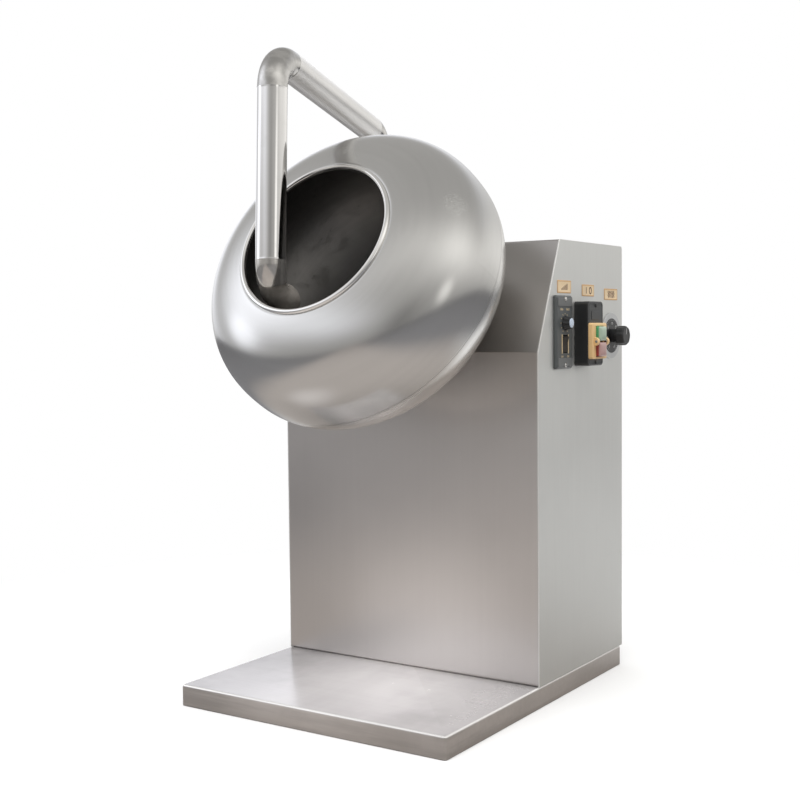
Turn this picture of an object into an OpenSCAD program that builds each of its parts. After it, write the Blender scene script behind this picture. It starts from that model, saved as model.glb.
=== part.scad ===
// Chocolate coating pan: a spun pan turns on a tilted axis in front of a sheet cabinet,
// and a bent air pipe blows warm air in through its mouth.
// Millimetres. +Z up, -Y is the front, +X the side with the controls.
// The origin is the middle of the base tray's footprint, on the floor.

/* [Base] */
// Width of the base tray and of the cabinet
base_w = 406; // [390:2:440]
// Depth of the base tray, front to rear
base_d = 488; // [470:2:520]
// Height of the tray's skirt
base_h = 28; // [24:1:36]
// Sheet thickness of the tray
base_sheet = 2; // [1.5:0.5:3]
// Width of the lip folded in under the skirt
base_lip = 16; // [10:1:24]

/* [Cabinet] */
// Depth of the cabinet at its foot
cab_d = 262; // [256:1:272]
// Height of the cabinet's top above the floor
cab_h = 605; // [598:1:620]
// Height at which the front starts to lean back
bend_z = 459; // [450:1:468]
// How far back the lean has gone at the top
set_back = 62.5; // [58:0.5:68]
// Sheet thickness of the cabinet
sheet = 1.5; // [1:0.25:2]
// Inside radius of the cabinet's folds
fold_r = 2.5; // [1.5:0.5:4]
// How far the cabinet hangs out behind the base
rear_overhang = 4; // [0:1:8]
// Width of the flanges that screws go through
flange_w = 16; // [12:1:22]
// How far the back panel's top edge lies below the cabinet's top
back_drop = 24; // [18:1:32]
// Louvres in each column of the back panel
louvre_rows = 9; // [5:1:11]
// Pitch of the louvres
louvre_pitch = 15; // [13:1:18]
// Length of one louvre
louvre_len = 96; // [70:2:120]
// How far a louvre stands out
louvre_out = 4; // [3:0.5:6]

/* [Pan] */
// Outer diameter of the pan
pan_d = 400; // [380:2:406]
// How far the front half reaches, before the mouth is cut
front_len = 117; // [108:1:122]
// How far the rear half reaches
rear_len = 117; // [110:1:120]
// Squareness of the front shoulder, 2 is an ellipse
shoulder = 2.7; // [2.2:0.1:3.2]
// Diameter of the mouth, at the middle of its rim bead
mouth_d = 207; // [204:1:216]
// Sheet thickness of the pan
pan_sheet = 1.5; // [1:0.25:2.5]
// Thickness of the rolled rim
bead_d = 7; // [5:0.5:9]
// Tilt of the pan's axis above level
pan_tilt = 29.3; // [28:0.1:31]
// How far the pan's middle lies in front of the cabinet
pan_reach = 104; // [100:1:108]
// Height of the pan's middle
pan_z = 549; // [545:1:556]

/* [Pan shaft] */
// Diameter of the hub flange behind the pan
hub_d = 92; // [84:2:100]
// Thickness of the hub flange
hub_flange = 8; // [6:1:9]
// Diameter of the hub's boss
hub_boss_d = 44; // [40:1:48]
// Diameter of the pan shaft
shaft_d = 25; // [20:1:28]
// Bolt circle of the hub
hub_pcd = 68; // [62:1:70]
// Diameter of the hub bolts
hub_bolt_d = 8; // [6:1:8]
// Outer diameter of the pan's bearing
bearing_d = 52; // [50:1:56]
// Width of the pan's bearing
bearing_w = 15; // [12:1:16]
// Side of the bearing's square flange
flange_side = 95; // [90:1:98]

/* [Drive] */
// Inside width between the cheeks of the drive frame
cheek_gap = 104; // [100:1:110]
// Thickness of the cheeks
cheek_t = 4; // [3:0.5:6]
// Thickness of the two cross plates
plate_t = 12; // [10:1:13]
// Height of the two cross plates
plate_h = 108; // [104:1:112]
// Free length between the two cross plates
plate_gap = 38; // [36:1:41]
// Side of the motor and of its gearhead
motor_side = 90; // [88:1:92]
// Length of the gearhead
gearhead_len = 60; // [56:1:62]
// Length of the motor
motor_len = 105; // [96:1:108]
// Diameter of the gearhead's output shaft
output_d = 15; // [12:1:17]
// How far the output shaft lies above the motor's shaft
output_offset = 19; // [18:0.5:19.5]
// Distance between the shafts of each gear pair
gear_span = 24; // [23.6:0.1:24.2]
// Face width of the gears
gear_w = 10; // [8:0.5:11]
// Play between the flanks of two teeth
backlash = 0.2; // [0.12:0.02:0.3]
// Diameter of the shaft coupling
coupling_d = 40; // [36:1:44]

/* [Air pipe] */
// Outer diameter of the air pipe
pipe_d = 38; // [36:0.5:39]
// Wall of the air pipe
pipe_wall = 1.5; // [1:0.25:2]
// How far the riser stands from the cabinet's left side
riser_from_side = 55; // [52:1:58]
// How far the riser stands from the cabinet's rear
riser_from_rear = 102; // [98:1:104]
// Height of the rear corner of the pipe's centre line
rear_corner_z = 783; // [777:1:790]
// Length of the run between its two corners
run_len = 373; // [368:1:378]
// Swing of the run to the right of straight ahead
run_swing = 14; // [13:0.5:15]
// Climb of the run towards the front
run_climb = 7.4; // [6.8:0.1:8]
// Bend of the front elbow
front_bend = 94; // [92:0.5:96]
// Length of the drop from its corner to the knee
drop_len = 264; // [260:1:268]
// Bend radius of the elbows, at their centre line
elbow_r = 40; // [38:1:46]
// Bend of the knee at the foot of the drop
knee_bend = 26; // [22:1:30]
// Turn of the knee about the drop
knee_turn = -10; // [-15:1:0]
// Straight end of the knee, into which the nozzle slips
knee_socket = 9; // [8:1:14]
// Visible straight length of the nozzle
nozzle_len = 2.5; // [1:0.5:6]
// Bend of the nozzle
nozzle_bend = 90; // [80:1:95]
// Turn of the nozzle in its socket at rest
nozzle_turn = 31; // [25:1:35]
// Travel of the pipe in its collar
pipe_lift = 140; // [100:5:145]

/* [Blower and heater] */
// Radius of the blower's wheel
wheel_r = 42; // [38:1:43]
// Width of the blower's wheel
wheel_w = 42; // [36:1:46]
// Blades of the blower's wheel
blade_count = 24; // [18:1:28]
// Smallest radius of the scroll
scroll_r0 = 47; // [46:0.5:49]
// Largest radius of the scroll
scroll_r1 = 86; // [84:1:88]
// Width of the scroll
scroll_w = 60; // [56:1:62]
// Sheet thickness of the scroll and the heater duct
duct_sheet = 1.5; // [1:0.25:2]
// Height of the blower's foot
foot_h = 20; // [16:1:26]
// Height of the scroll's outlet above its axis
outlet_rise = 80; // [74:1:86]
// Side of the square heater duct
heater_side = 64; // [62:1:68]
// Length of the heater duct
heater_len = 220; // [200:2:228]

/* [Controls] */
// Width of the speed unit's plate
speed_w = 48.5; // [46:0.5:54]
// Height of the speed unit's plate
speed_h = 96; // [92:1:100]
// Distance of the speed unit from the cabinet's front
speed_y = 67.5; // [66:0.5:69]
// Height of the speed unit's middle
speed_z = 484; // [480:1:490]
// Diameter of the speed knob
speed_knob_d = 19.5; // [16:0.5:20]
// Width of the switch box
box_w = 48; // [46:1:50]
// Height of the switch box
box_h = 84; // [82:1:90]
// Depth of the switch box
box_deep = 20; // [18:1:24]
// Distance of the switch box from the cabinet's front
box_y = 129.5; // [128:0.5:131]
// Height of the switch box's middle
box_z = 481; // [478:1:486]
// Height of the switch box's bezel
bezel_h = 50; // [48:1:54]
// How far the bezel stands out of the box
bezel_out = 6; // [5:0.5:8]
// Width of the push buttons
button_w = 22; // [20:1:26]
// Height of a push button
button_h = 19; // [17:0.5:20]
// How far a push button stands out of its bezel
button_out = 4; // [3.5:0.5:6]
// Travel of a push button
button_travel = 3; // [2:0.5:3]
// Diameter of the heater dial
dial_d = 65; // [58:1:66]
// Distance of the heater dial from the cabinet's rear
dial_y = 39; // [37:1:41]
// Height of the heater dial's middle
dial_z = 478; // [474:1:484]
// Diameter of the heater knob
knob_d = 27.5; // [22:0.5:28]
// Length of the heater knob
knob_len = 22; // [18:1:26]

/* [Fits] */
// Radial clearance of a shaft in its bore
fit = 0.05; // [0.02:0.01:0.08]
// Radial clearance of a screw in its hole
screw_play = 0.25; // [0.15:0.05:0.4]
// Clearance between pieces that must not touch
gap = 0.3; // [0.25:0.05:0.5]

/* [Hidden] */
$fn = 96;

steel = "#b9b8b2";
dark_steel = "#7d7f80";
black = "#1d1f21";

// The cabinet's outline, seen from the side
cab_rear_y = base_d / 2 + rear_overhang;
cab_front_y = cab_rear_y - cab_d;
slope_top_y = cab_front_y + set_back;
slope_angle = atan(set_back / (cab_h - bend_z));
face_x = base_w / 2;
fold_out = fold_r + sheet;
fold_steps = 5;

// The pan and its axis
pan_r = pan_d / 2;
mouth_r = mouth_d / 2;
pan_y = cab_front_y - pan_reach;
mouth_angle = acos(pow(mouth_r / pan_r, shoulder / 2));
mouth_s = front_len * pow(sin(mouth_angle), 2 / shoulder);
flat_r = hub_d / 2 + 1;
flat_s = -rear_len * sqrt(1 - pow(flat_r / pan_r, 2));
pan_steps = 18;
// Where the pan's axis meets the sloping front, measured from the pan's middle
slope_s = -(pan_reach * cos(slope_angle) + (pan_z - bend_z) * sin(slope_angle)) / cos(pan_tilt - slope_angle);

// Places along the pan's axis, all behind the pan's middle
hub_back_s = flat_s - hub_flange;
hub_end_s = slope_s - sheet - 5;
housing_t = 14;
drive_clear = 3;
// The housing's lower front corner stays clear of the cabinet's front sheet
corner_s = -(pan_reach + flange_side / 2 * sin(pan_tilt) + sheet + drive_clear) / cos(pan_tilt);
plate_a_s = corner_s - (housing_t - 4);
plate_b_s = plate_a_s - plate_t - plate_gap;
gearhead_s = plate_b_s - plate_t;
motor_s = gearhead_s - gearhead_len;
motor_end_s = motor_s - motor_len;
coupling_len = plate_gap - 6;
coupling_s = plate_a_s - plate_t - 3;
shaft_split_s = coupling_s - coupling_len / 2;
hub_boss_hole = hub_boss_d / 2 + 4;

// The gear train: pinion and wheel teeth of the three stages, motor side first
motor_pinion = 12;
first_wheel = 48;
first_pinion = 15;
second_wheel = 45;
second_pinion = 16;
output_wheel = 40;
case_wall = 4;
front_wall = 6;
partition_t = 3;
gear_gap = 1;
stage_three_s = gearhead_s - front_wall - gear_gap;
stage_two_s = stage_three_s - gear_w - gear_gap;
partition_s = stage_two_s - gear_w - gear_gap;
stage_one_s = partition_s - partition_t - gear_gap;
pinion_shaft_d = 8;
// Shaft places in the gearhead, from the motor's shaft
output_at = [0, output_offset];
second_at = output_at + gear_span * [cos(-23.6), sin(-23.6)];
second_reach = norm(second_at);
first_turn = acos(second_reach / 2 / gear_span);
first_at = gear_span * [cos(atan2(second_at[1], second_at[0]) - first_turn),
    sin(atan2(second_at[1], second_at[0]) - first_turn)];

// The air pipe
pipe_in_r = pipe_d / 2 - pipe_wall;
riser_x = -face_x + riser_from_side;
riser_y = cab_rear_y - riser_from_rear;
rear_bend = 90 - run_climb;
rear_cut = elbow_r * tan(rear_bend / 2);
front_cut = elbow_r * tan(front_bend / 2);
run_straight = run_len - rear_cut - front_cut;
drop_straight = drop_len - front_cut - elbow_r * tan(knee_bend / 2);
nozzle_r = pipe_in_r - fit;
sleeve_wall = 2;
sleeve_flange = 3;
collar_h = 26;
collar_flange = 3;
sheet_hole_d = pipe_d + 3;

// The blower and the heater
outlet_mid = (scroll_r0 + scroll_r1) / 2;
blower_y = riser_y - outlet_mid;
scroll_low = scroll_r0 + (scroll_r1 - scroll_r0) * 0.75;
blower_z = base_h + foot_h + scroll_low + duct_sheet;
heater_z = blower_z + outlet_rise;
sleeve_z = heater_z + heater_len;
riser_foot_z = sleeve_z + sleeve_flange + gap;
motor_clear = 8;
blower_motor_len = -cheek_gap / 2 - cheek_t - motor_clear - riser_x - scroll_w / 2;
blower_motor_d = 78;
wheel_shaft_d = 8;
tongue_angle = 24;
scroll_steps = 30;

// The controls
speed_plate_t = 5;
speed_mid_y = cab_front_y + speed_y;
box_mid_y = cab_front_y + box_y;
dial_mid_y = cab_rear_y - dial_y;
box_wall = 2.5;
bezel_drop = 10;
bezel_z = box_z - bezel_drop;
button_gap = 2;
well_h = 2 * button_h + button_gap + 2 * gap;
well_w = button_w + 2 * gap;
dial_plate_t = 1.5;
stem_d = 6;

// Unit vector along v
function unit(v) = v / norm(v);

// Points of a round corner of radius r at p1, between its neighbours p0 and p2
function round_corner(p0, p1, p2, r, steps) =
    let (u = unit(p0 - p1), v = unit(p2 - p1), half = acos(u * v) / 2,
        middle = p1 + unit(u + v) * r / sin(half),
        from = unit(p1 + u * r / tan(half) - middle),
        to = unit(p1 + v * r / tan(half) - middle), turn = 180 - 2 * half)
    [for (i = [0:steps]) middle + r * (from * sin(turn * (1 - i / steps)) + to * sin(turn * i / steps)) / sin(turn)];

// An open path with all its inner corners rounded
function round_path(points, r, steps) = [
    points[0],
    for (i = [1:len(points) - 2]) each round_corner(points[i - 1], points[i], points[i + 1], r, steps),
    points[len(points) - 1]];

// The point at distance s along the pan's axis and p across it, as [y, z]
function axis_point(s, p) = [pan_y - s * cos(pan_tilt) + p * sin(pan_tilt), pan_z + s * sin(pan_tilt) + p * cos(pan_tilt)];

// A point of the pan's outline, as [radius, distance along the axis]
function pan_curve(radius, length, power, angle) =
    [radius * pow(cos(angle), 2 / power), length * pow(sin(angle), 2 / power)];

// Carries children to the pan's axis: their +Z points out of the mouth, 0 is the pan's middle
module on_pan_axis(s = 0) {
    translate([0, pan_y, pan_z])
        rotate([90 - pan_tilt, 0, 0])
            translate([0, 0, s])
                children();
}

// Carries children to the gearhead's and motor's own axis
module on_motor_axis(s = 0) {
    on_pan_axis(s)
        translate([0, -output_offset, 0])
            children();
}

// Carries children to the right side: their +X is the object's +Y, their +Y is up, +Z points out
module on_side(y, z) {
    translate([face_x, y, z])
        rotate([90, 0, 90])
            children();
}

// A flat outline given as [y, z], extruded along X from x by width
module slab(points, x, width) {
    translate([x, 0, 0])
        rotate([90, 0, 90])
            linear_extrude(width)
                polygon(points);
}

// A ring or a tube standing on Z = 0
module tube(outer_r, inner_r, height) {
    difference() {
        cylinder(r = outer_r, h = height);
        translate([0, 0, -1])
            cylinder(r = inner_r, h = height + 2);
    }
}

// A block centred on X and Y, standing on Z = 0, with round upright edges
module round_block(width, depth, height, r) {
    hull_w = width / 2 - r;
    hull_d = depth / 2 - r;
    union() {
        translate([-width / 2, -hull_d, 0])
            cube([width, 2 * hull_d, height]);
        translate([-hull_w, -depth / 2, 0])
            cube([2 * hull_w, depth, height]);
        for (x = [-hull_w, hull_w], y = [-hull_d, hull_d])
            translate([x, y, 0])
                cylinder(r = r, h = height, $fn = 32);
    }
}

// A screw with a domed head on Z = 0 and its shank below
module screw(d, length, head_d, head_h) {
    union() {
        translate([0, 0, -length])
            cylinder(d = d, h = length + head_h / 2, $fn = 32);
        intersection() {
            cylinder(d = head_d, h = head_h, $fn = 32);
            translate([0, 0, head_h - head_d])
                sphere(r = head_d, $fn = 48);
        }
    }
}

// A spur gear on Z = 0 with involute teeth, the first tooth on +X
module spur_gear(teeth, width, span, mate, bore) {
    size = 2 * span / (teeth + mate);
    pitch_r = teeth * size / 2;
    base_r = pitch_r * cos(20);
    tip_r = pitch_r + 0.85 * size;
    root_r = pitch_r - 1.15 * size;
    start_r = max(base_r, root_r);
    half_thick = 90 / teeth - backlash / 2 / pitch_r * 57.3 / 2;
    pitch_involute = tan(20) * 57.2958 - 20;
    flank = [for (k = [0:3])
        let (r = start_r + (tip_r - start_r) * k / 3, a = acos(base_r / r), inv = tan(a) * 57.2958 - a)
        [r, half_thick + pitch_involute - inv]];
    pitch = 360 / teeth;
    outline = [for (i = [0:teeth - 1]) each concat(
        [[root_r, i * pitch - flank[0][1] - 0.6]],
        [for (k = [0:3]) [flank[k][0], i * pitch - flank[k][1]]],
        [for (k = [3:-1:0]) [flank[k][0], i * pitch + flank[k][1]]],
        [[root_r, i * pitch + flank[0][1] + 0.6]])];
    linear_extrude(width)
        difference() {
            polygon([for (q = outline) q[0] * [cos(q[1]), sin(q[1])]]);
            if (bore > 0)
                circle(d = bore);
        }
}

// Base

// Folded tray, upside down, with a lip under its skirt
module base_tray() {
    inner_w = base_w - 2 * base_sheet;
    inner_d = base_d - 2 * base_sheet;
    color(steel)
        difference() {
            translate([-base_w / 2, -base_d / 2, 0])
                cube([base_w, base_d, base_h]);
            translate([-inner_w / 2, -inner_d / 2, base_sheet])
                cube([inner_w, inner_d, base_h - 2 * base_sheet]);
            translate([-inner_w / 2 + base_lip, -inner_d / 2 + base_lip, -1])
                cube([inner_w - 2 * base_lip, inner_d - 2 * base_lip, base_sheet + 2]);
            at_foot_bolts()
                cylinder(d = foot_bolt_d + 2 * screw_play, h = 3 * (base_sheet + cheek_t), center = true, $fn = 32);
        }
}

// Two folded channels under the top of the tray
stiffener_w = 40;
stiffener_h = 16;
module base_stiffeners() {
    length = base_w - 2 * base_sheet - 2 * gap;
    color(dark_steel)
        for (y = [-base_d / 4, base_d / 8])
            translate([-length / 2, y - stiffener_w / 2, base_h - base_sheet - stiffener_h])
                difference() {
                    cube([length, stiffener_w, stiffener_h]);
                    translate([-1, base_sheet, base_sheet])
                        cube([length + 2, stiffener_w - 2 * base_sheet, stiffener_h]);
                }
}

// Cabinet

cabinet_line = [
    [cab_front_y + flange_w, base_h],
    [cab_front_y, base_h],
    [cab_front_y, bend_z],
    [slope_top_y, cab_h],
    [cab_rear_y, cab_h],
    [cab_rear_y, cab_h - back_drop]];
// The same line, one sheet further in
cabinet_inside = [
    [cab_front_y + flange_w, base_h + sheet],
    [cab_front_y + sheet, base_h + sheet],
    [cab_front_y + sheet, bend_z - sheet * tan(slope_angle / 2)],
    [slope_top_y + sheet * tan(45 - slope_angle / 2), cab_h - sheet],
    [cab_rear_y - sheet, cab_h - sheet],
    [cab_rear_y - sheet, cab_h - back_drop]];

// One bent sheet: foot flange, front, slope, top and rear flange
module cabinet_wrap() {
    outside = round_path(cabinet_line, fold_out, fold_steps);
    inside = round_path(cabinet_inside, fold_r, fold_steps);
    reversed = [for (i = [len(inside) - 1:-1:0]) inside[i]];
    width = base_w - 2 * sheet;
    color(steel)
        difference() {
            slab(concat(outside, reversed), -width / 2, width);
            on_pan_axis(slope_s - 20)
                cylinder(r = hub_boss_hole, h = 40);
            translate([riser_x, riser_y, cab_h - 2 * sheet])
                cylinder(d = sheet_hole_d, h = 3 * sheet);
            at_collar_screws()
                cylinder(d = collar_screw_d + 2 * screw_play, h = 8 * sheet, center = true, $fn = 32);
        }
}

// Outline of a side panel, and the flanges that fold in from it
module side_sheet() {
    corners = round_path([
        [cab_front_y, base_h],
        [cab_front_y, bend_z],
        [slope_top_y, cab_h],
        [cab_rear_y, cab_h],
        [cab_rear_y, base_h]], fold_out, fold_steps);
    side_flange_y = cab_rear_y - 2 * sheet;
    union() {
        slab(corners, face_x - sheet, sheet);
        translate([face_x - flange_w, cab_front_y + flange_w + 2, base_h])
            cube([flange_w - sheet / 2, cab_d - 2 * flange_w - 4, sheet]);
        translate([face_x - flange_w, side_flange_y, base_h + 2])
            cube([flange_w - sheet / 2, sheet, cab_h - back_drop - base_h - 6]);
    }
}

module side_panel_left() {
    color(steel)
        difference() {
            mirror([1, 0, 0])
                side_sheet();
            at_back_screws()
                cylinder(d = back_screw_d + 2 * screw_play, h = 20, center = true, $fn = 32);
        }
}

module side_panel_right() {
    color(steel)
        difference() {
            side_sheet();
            at_back_screws()
                cylinder(d = back_screw_d + 2 * screw_play, h = 20, center = true, $fn = 32);
            on_side(speed_mid_y, speed_z)
                cube([speed_body_w + 1, speed_body_h + 1, 4 * sheet], center = true);
            on_side(box_mid_y, bezel_z)
                cube([block_w + 1, block_h + 1, 4 * sheet], center = true);
            on_side(dial_mid_y, dial_z)
                cylinder(d = stem_d + 4, h = 4 * sheet, center = true);
        }
}

back_screw_d = 4;
back_screw_rows = 4;
back_low = base_h + 1;
back_high = cab_h - back_drop - 1;

// Places of the back panel's screws, their +Z pointing to the rear
module at_back_screws() {
    x = face_x - flange_w / 2 - sheet / 2;
    for (side = [-1, 1], i = [0:back_screw_rows - 1])
        translate([side * x, cab_rear_y, back_low + 20 + i * (back_high - back_low - 40) / (back_screw_rows - 1)])
            rotate([-90, 0, 0])
                children();
}

// Places of the louvres, at the top edge of each slot
module at_louvres() {
    first_z = back_low + 150;
    for (side = [-1, 1], i = [0:louvre_rows - 1])
        translate([side * (base_w / 4 - 4), cab_rear_y, first_z + i * louvre_pitch])
            children();
}

// Section of a louvre, as [y, z] from its top edge
function louvre_section(out, drop) = [[-0.01, 0], [out, -drop], [-0.01, -drop]];

module back_panel() {
    width = base_w - 2 * sheet - 2 * gap;
    drop = 2 * louvre_out;
    color(steel)
        difference() {
            union() {
                translate([-width / 2, cab_rear_y - sheet, back_low])
                    cube([width, sheet, back_high - back_low]);
                at_louvres()
                    slab(louvre_section(louvre_out, drop), -louvre_len / 2, louvre_len);
            }
            at_louvres()
                translate([0, -sheet - 0.5, -0.9])
                    slab([[0, 0], [sheet + louvre_out - 0.6, -drop], [sheet + louvre_out - 0.6, -drop - 1], [0, -drop - 1]],
                        -louvre_len / 2 + 1, louvre_len - 2);
            at_back_screws()
                cylinder(d = back_screw_d + 2 * screw_play, h = 20, center = true, $fn = 32);
            translate([gland_x, cab_rear_y, gland_z])
                rotate([90, 0, 0])
                    cylinder(d = gland_neck_d + 2 * gap, h = 20, center = true);
        }
}

module back_screws() {
    color("#9a9a96")
        at_back_screws()
            screw(back_screw_d, 8, 8, 2.4);
}

gland_x = face_x - 73;
gland_z = 88;
gland_neck_d = 16;
gland_d = 24;
gland_bore = 8;
gland_len = 30;

// Cable gland in the back panel, without its cable
module cable_gland() {
    color(black)
        translate([gland_x, cab_rear_y, gland_z])
            rotate([-90, 0, 0])
                difference() {
                    union() {
                        translate([0, 0, -sheet - 8])
                            cylinder(d = gland_neck_d, h = sheet + 9);
                        cylinder(d = gland_d, h = 6, $fn = 6);
                        translate([0, 0, 6])
                            cylinder(d = gland_neck_d + 3, h = 5);
                        translate([0, 0, 11])
                            cylinder(d1 = gland_neck_d + 3, d2 = gland_bore + 5, h = gland_len - 8 - sheet - 11);
                        translate([0, 0, -sheet - 5 - gap])
                            cylinder(d = gland_d, h = 5, $fn = 6);
                    }
                    translate([0, 0, -sheet - 10])
                        cylinder(d = gland_bore, h = gland_len + 5);
                }
}

// Ring round the shaft: square to the shaft in front, shaped to the folded sheet behind
ring_wall = 12;
module shaft_ring() {
    inner_r = hub_boss_hole - 1;
    color(dark_steel)
        difference() {
            on_pan_axis(slope_s - 12)
                tube(inner_r + ring_wall, inner_r, 12 + (hub_back_s - slope_s) - 2);
            slab(round_path(cabinet_line, fold_out, fold_steps), -base_w / 2, base_w);
        }
}

// Drive frame

foot_bolt_d = 8;
foot_w = 22;
cheek_x = cheek_gap / 2;
foot_y0 = cab_front_y + flange_w + 4;
foot_y1 = foot_y0 + 120;
frame_bolt_d = 6;
bolt_in = 14;
plate_low = output_offset + motor_side / 2 + 3;
cheek_bolt_at = [
    [plate_a_s, plate_h / 2 - bolt_in],
    [plate_a_s, bolt_in - plate_h / 2],
    [plate_b_s, plate_h / 2 - bolt_in],
    [plate_b_s, bolt_in - plate_low]];

// Places of the bolts that hold the drive frame's feet down
module at_foot_bolts() {
    for (side = [-1, 1], y = [foot_y0 + 18, foot_y1 - 18])
        translate([side * (cheek_x + cheek_t + foot_w / 2), y, base_h + cheek_t])
            children();
}

// Places of the bolts through the cheeks into the edges of the cross plates
module at_cheek_bolts() {
    for (side = [-1, 1], at = cheek_bolt_at)
        on_pan_axis(at[0] - plate_t / 2)
            translate([side * (cheek_x + cheek_t), at[1], 0])
                rotate([0, side * 90, 0])
                    children();
}

module drive_cheek_right() {
    half = plate_h / 2;
    front_low = axis_point(plate_a_s, -half);
    outline = [
        [foot_y0, base_h],
        [foot_y1, base_h],
        axis_point(gearhead_s, -plate_low),
        axis_point(gearhead_s, half),
        axis_point(plate_a_s, half),
        front_low,
        [foot_y0, front_low[1] - 40]];
    color(dark_steel)
        difference() {
            union() {
                slab(outline, cheek_x, cheek_t);
                translate([cheek_x, foot_y0, base_h])
                    cube([cheek_t + foot_w, foot_y1 - foot_y0, cheek_t]);
            }
            at_cheek_bolts()
                cylinder(d = frame_bolt_d + 2 * screw_play, h = 3 * cheek_t, center = true, $fn = 32);
            at_foot_bolts()
                cylinder(d = foot_bolt_d + 2 * screw_play, h = 3 * cheek_t, center = true, $fn = 32);
            translate([cheek_x - 1, (foot_y0 + foot_y1) / 2 - 8, base_h + 120])
                rotate([0, 90, 0])
                    cylinder(d = 56, h = cheek_t + 2);
            translate([cheek_x - 1, (foot_y0 + foot_y1) / 2 - 24, base_h + 220])
                rotate([0, 90, 0])
                    cylinder(d = 40, h = cheek_t + 2);
        }
}

module drive_cheek_left() {
    mirror([1, 0, 0])
        drive_cheek_right();
}

// A cross plate with its edge holes, its front face at s and its lower edge at -low
module cross_plate(s, hole_d, low) {
    difference() {
        on_pan_axis(s - plate_t)
            difference() {
                translate([-cheek_x, -low, 0])
                    cube([cheek_gap, plate_h / 2 + low, plate_t]);
                translate([0, 0, -1])
                    cylinder(d = hole_d, h = plate_t + 2);
            }
        at_cheek_bolts()
            translate([0, 0, -cheek_t - 10.5])
                cylinder(d = frame_bolt_d + 2 * screw_play, h = 12, $fn = 32);
    }
}

housing_bolt_at = flange_side / 2 - 13;

// Places of the four bolts of the bearing housing
module at_housing_bolts() {
    on_pan_axis(plate_a_s)
        for (x = [-1, 1], y = [-1, 1])
            translate([x * housing_bolt_at, y * housing_bolt_at, 0])
                children();
}

module bearing_plate() {
    color(dark_steel)
        difference() {
            cross_plate(plate_a_s, bearing_d - 6, plate_h / 2);
            at_housing_bolts()
                translate([0, 0, -plate_t - 1])
                    cylinder(d = foot_bolt_d + 2 * screw_play, h = plate_t + 2, $fn = 32);
        }
}

gearhead_bolt_at = motor_side / 2 - 8;

// Places of the four long screws through the gearhead
module at_gearhead_bolts() {
    on_motor_axis(plate_b_s)
        for (x = [-1, 1], y = [-1, 1])
            translate([x * gearhead_bolt_at, y * gearhead_bolt_at, 0])
                children();
}

module gearbox_plate() {
    color(dark_steel)
        difference() {
            cross_plate(plate_b_s, output_d + 16, plate_low);
            at_gearhead_bolts()
                translate([0, 0, -plate_t - 1])
                    cylinder(d = frame_bolt_d + 2 * screw_play, h = plate_t + 2, $fn = 32);
        }
}

// All the bolts of the drive frame: feet, cheeks, bearing and gearhead
module frame_bolts() {
    color("#a3a39e") {
        at_foot_bolts()
            screw(foot_bolt_d, cheek_t + base_sheet + 6, 14, 5);
        at_cheek_bolts()
            screw(frame_bolt_d, cheek_t + 9, 11, 4);
        at_housing_bolts()
            translate([0, 0, housing_t - 4])
                screw(foot_bolt_d, housing_t + plate_t - 6, 13, 5);
        at_gearhead_bolts()
            screw(frame_bolt_d, plate_t + 4, 11, 4);
    }
}

// Square cast flange with the bearing's seat
module bearing_housing() {
    color(dark_steel)
        difference() {
            on_pan_axis(plate_a_s)
                difference() {
                    union() {
                        round_block(flange_side, flange_side, housing_t - 4, 10);
                        cylinder(d = bearing_d + 16, h = housing_t);
                    }
                    translate([0, 0, -1])
                        cylinder(d = bearing_d + 2 * fit, h = housing_t - 1);
                    cylinder(d = bearing_d - 8, h = housing_t + 1);
                }
            at_housing_bolts()
                cylinder(d = foot_bolt_d + 2 * screw_play, h = 3 * housing_t, center = true, $fn = 32);
        }
}

race_split_r = (shaft_d + bearing_d) / 4;
race_w = min(bearing_w, housing_t - 2);
module bearing_outer_race() {
    color("#c8c8c4")
        on_pan_axis(plate_a_s)
            tube(bearing_d / 2, race_split_r + fit, race_w);
}

module bearing_inner_race() {
    color("#c8c8c4")
        on_pan_axis(plate_a_s)
            tube(race_split_r, shaft_d / 2 + fit, race_w);
}

// Gearhead and motor

// Square case, open to the motor, with a nose round the output shaft
module gearhead_case() {
    inner = motor_side - 2 * case_wall;
    color("#8b8f90")
        difference() {
            on_motor_axis(gearhead_s - gearhead_len)
                difference() {
                    union() {
                        round_block(motor_side, motor_side, gearhead_len, 8);
                        translate([0, output_offset, gearhead_len])
                            cylinder(d = output_d + 14, h = 6);
                    }
                    translate([0, 0, -1])
                        round_block(inner, inner, gearhead_len - front_wall + 1, 6);
                    translate([0, output_offset, 0])
                        cylinder(d = output_d + 2 * fit, h = gearhead_len + 10);
                    for (at = [first_at, second_at])
                        translate([at[0], at[1], gearhead_len - front_wall - 1])
                            cylinder(d = pinion_shaft_d + 2 * fit, h = front_wall - 1);
                }
            at_gearhead_bolts()
                translate([0, 0, -plate_t - 5])
                    cylinder(d = frame_bolt_d + 2 * screw_play, h = 6, $fn = 32);
        }
}

// Plate between the first gear pair and the other two
module gear_partition() {
    side = motor_side - 2 * case_wall - 2 * fit;
    color("#9fa3a4")
        on_motor_axis(partition_s - partition_t)
            difference() {
                round_block(side, side, partition_t, 6);
                for (at = [first_at, second_at])
                    translate([at[0], at[1], -1])
                        cylinder(d = pinion_shaft_d + 2 * fit, h = partition_t + 2);
            }
}

rotor_r = 24;
rotor_shaft_d = 10;
bell_t = 10;
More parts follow.
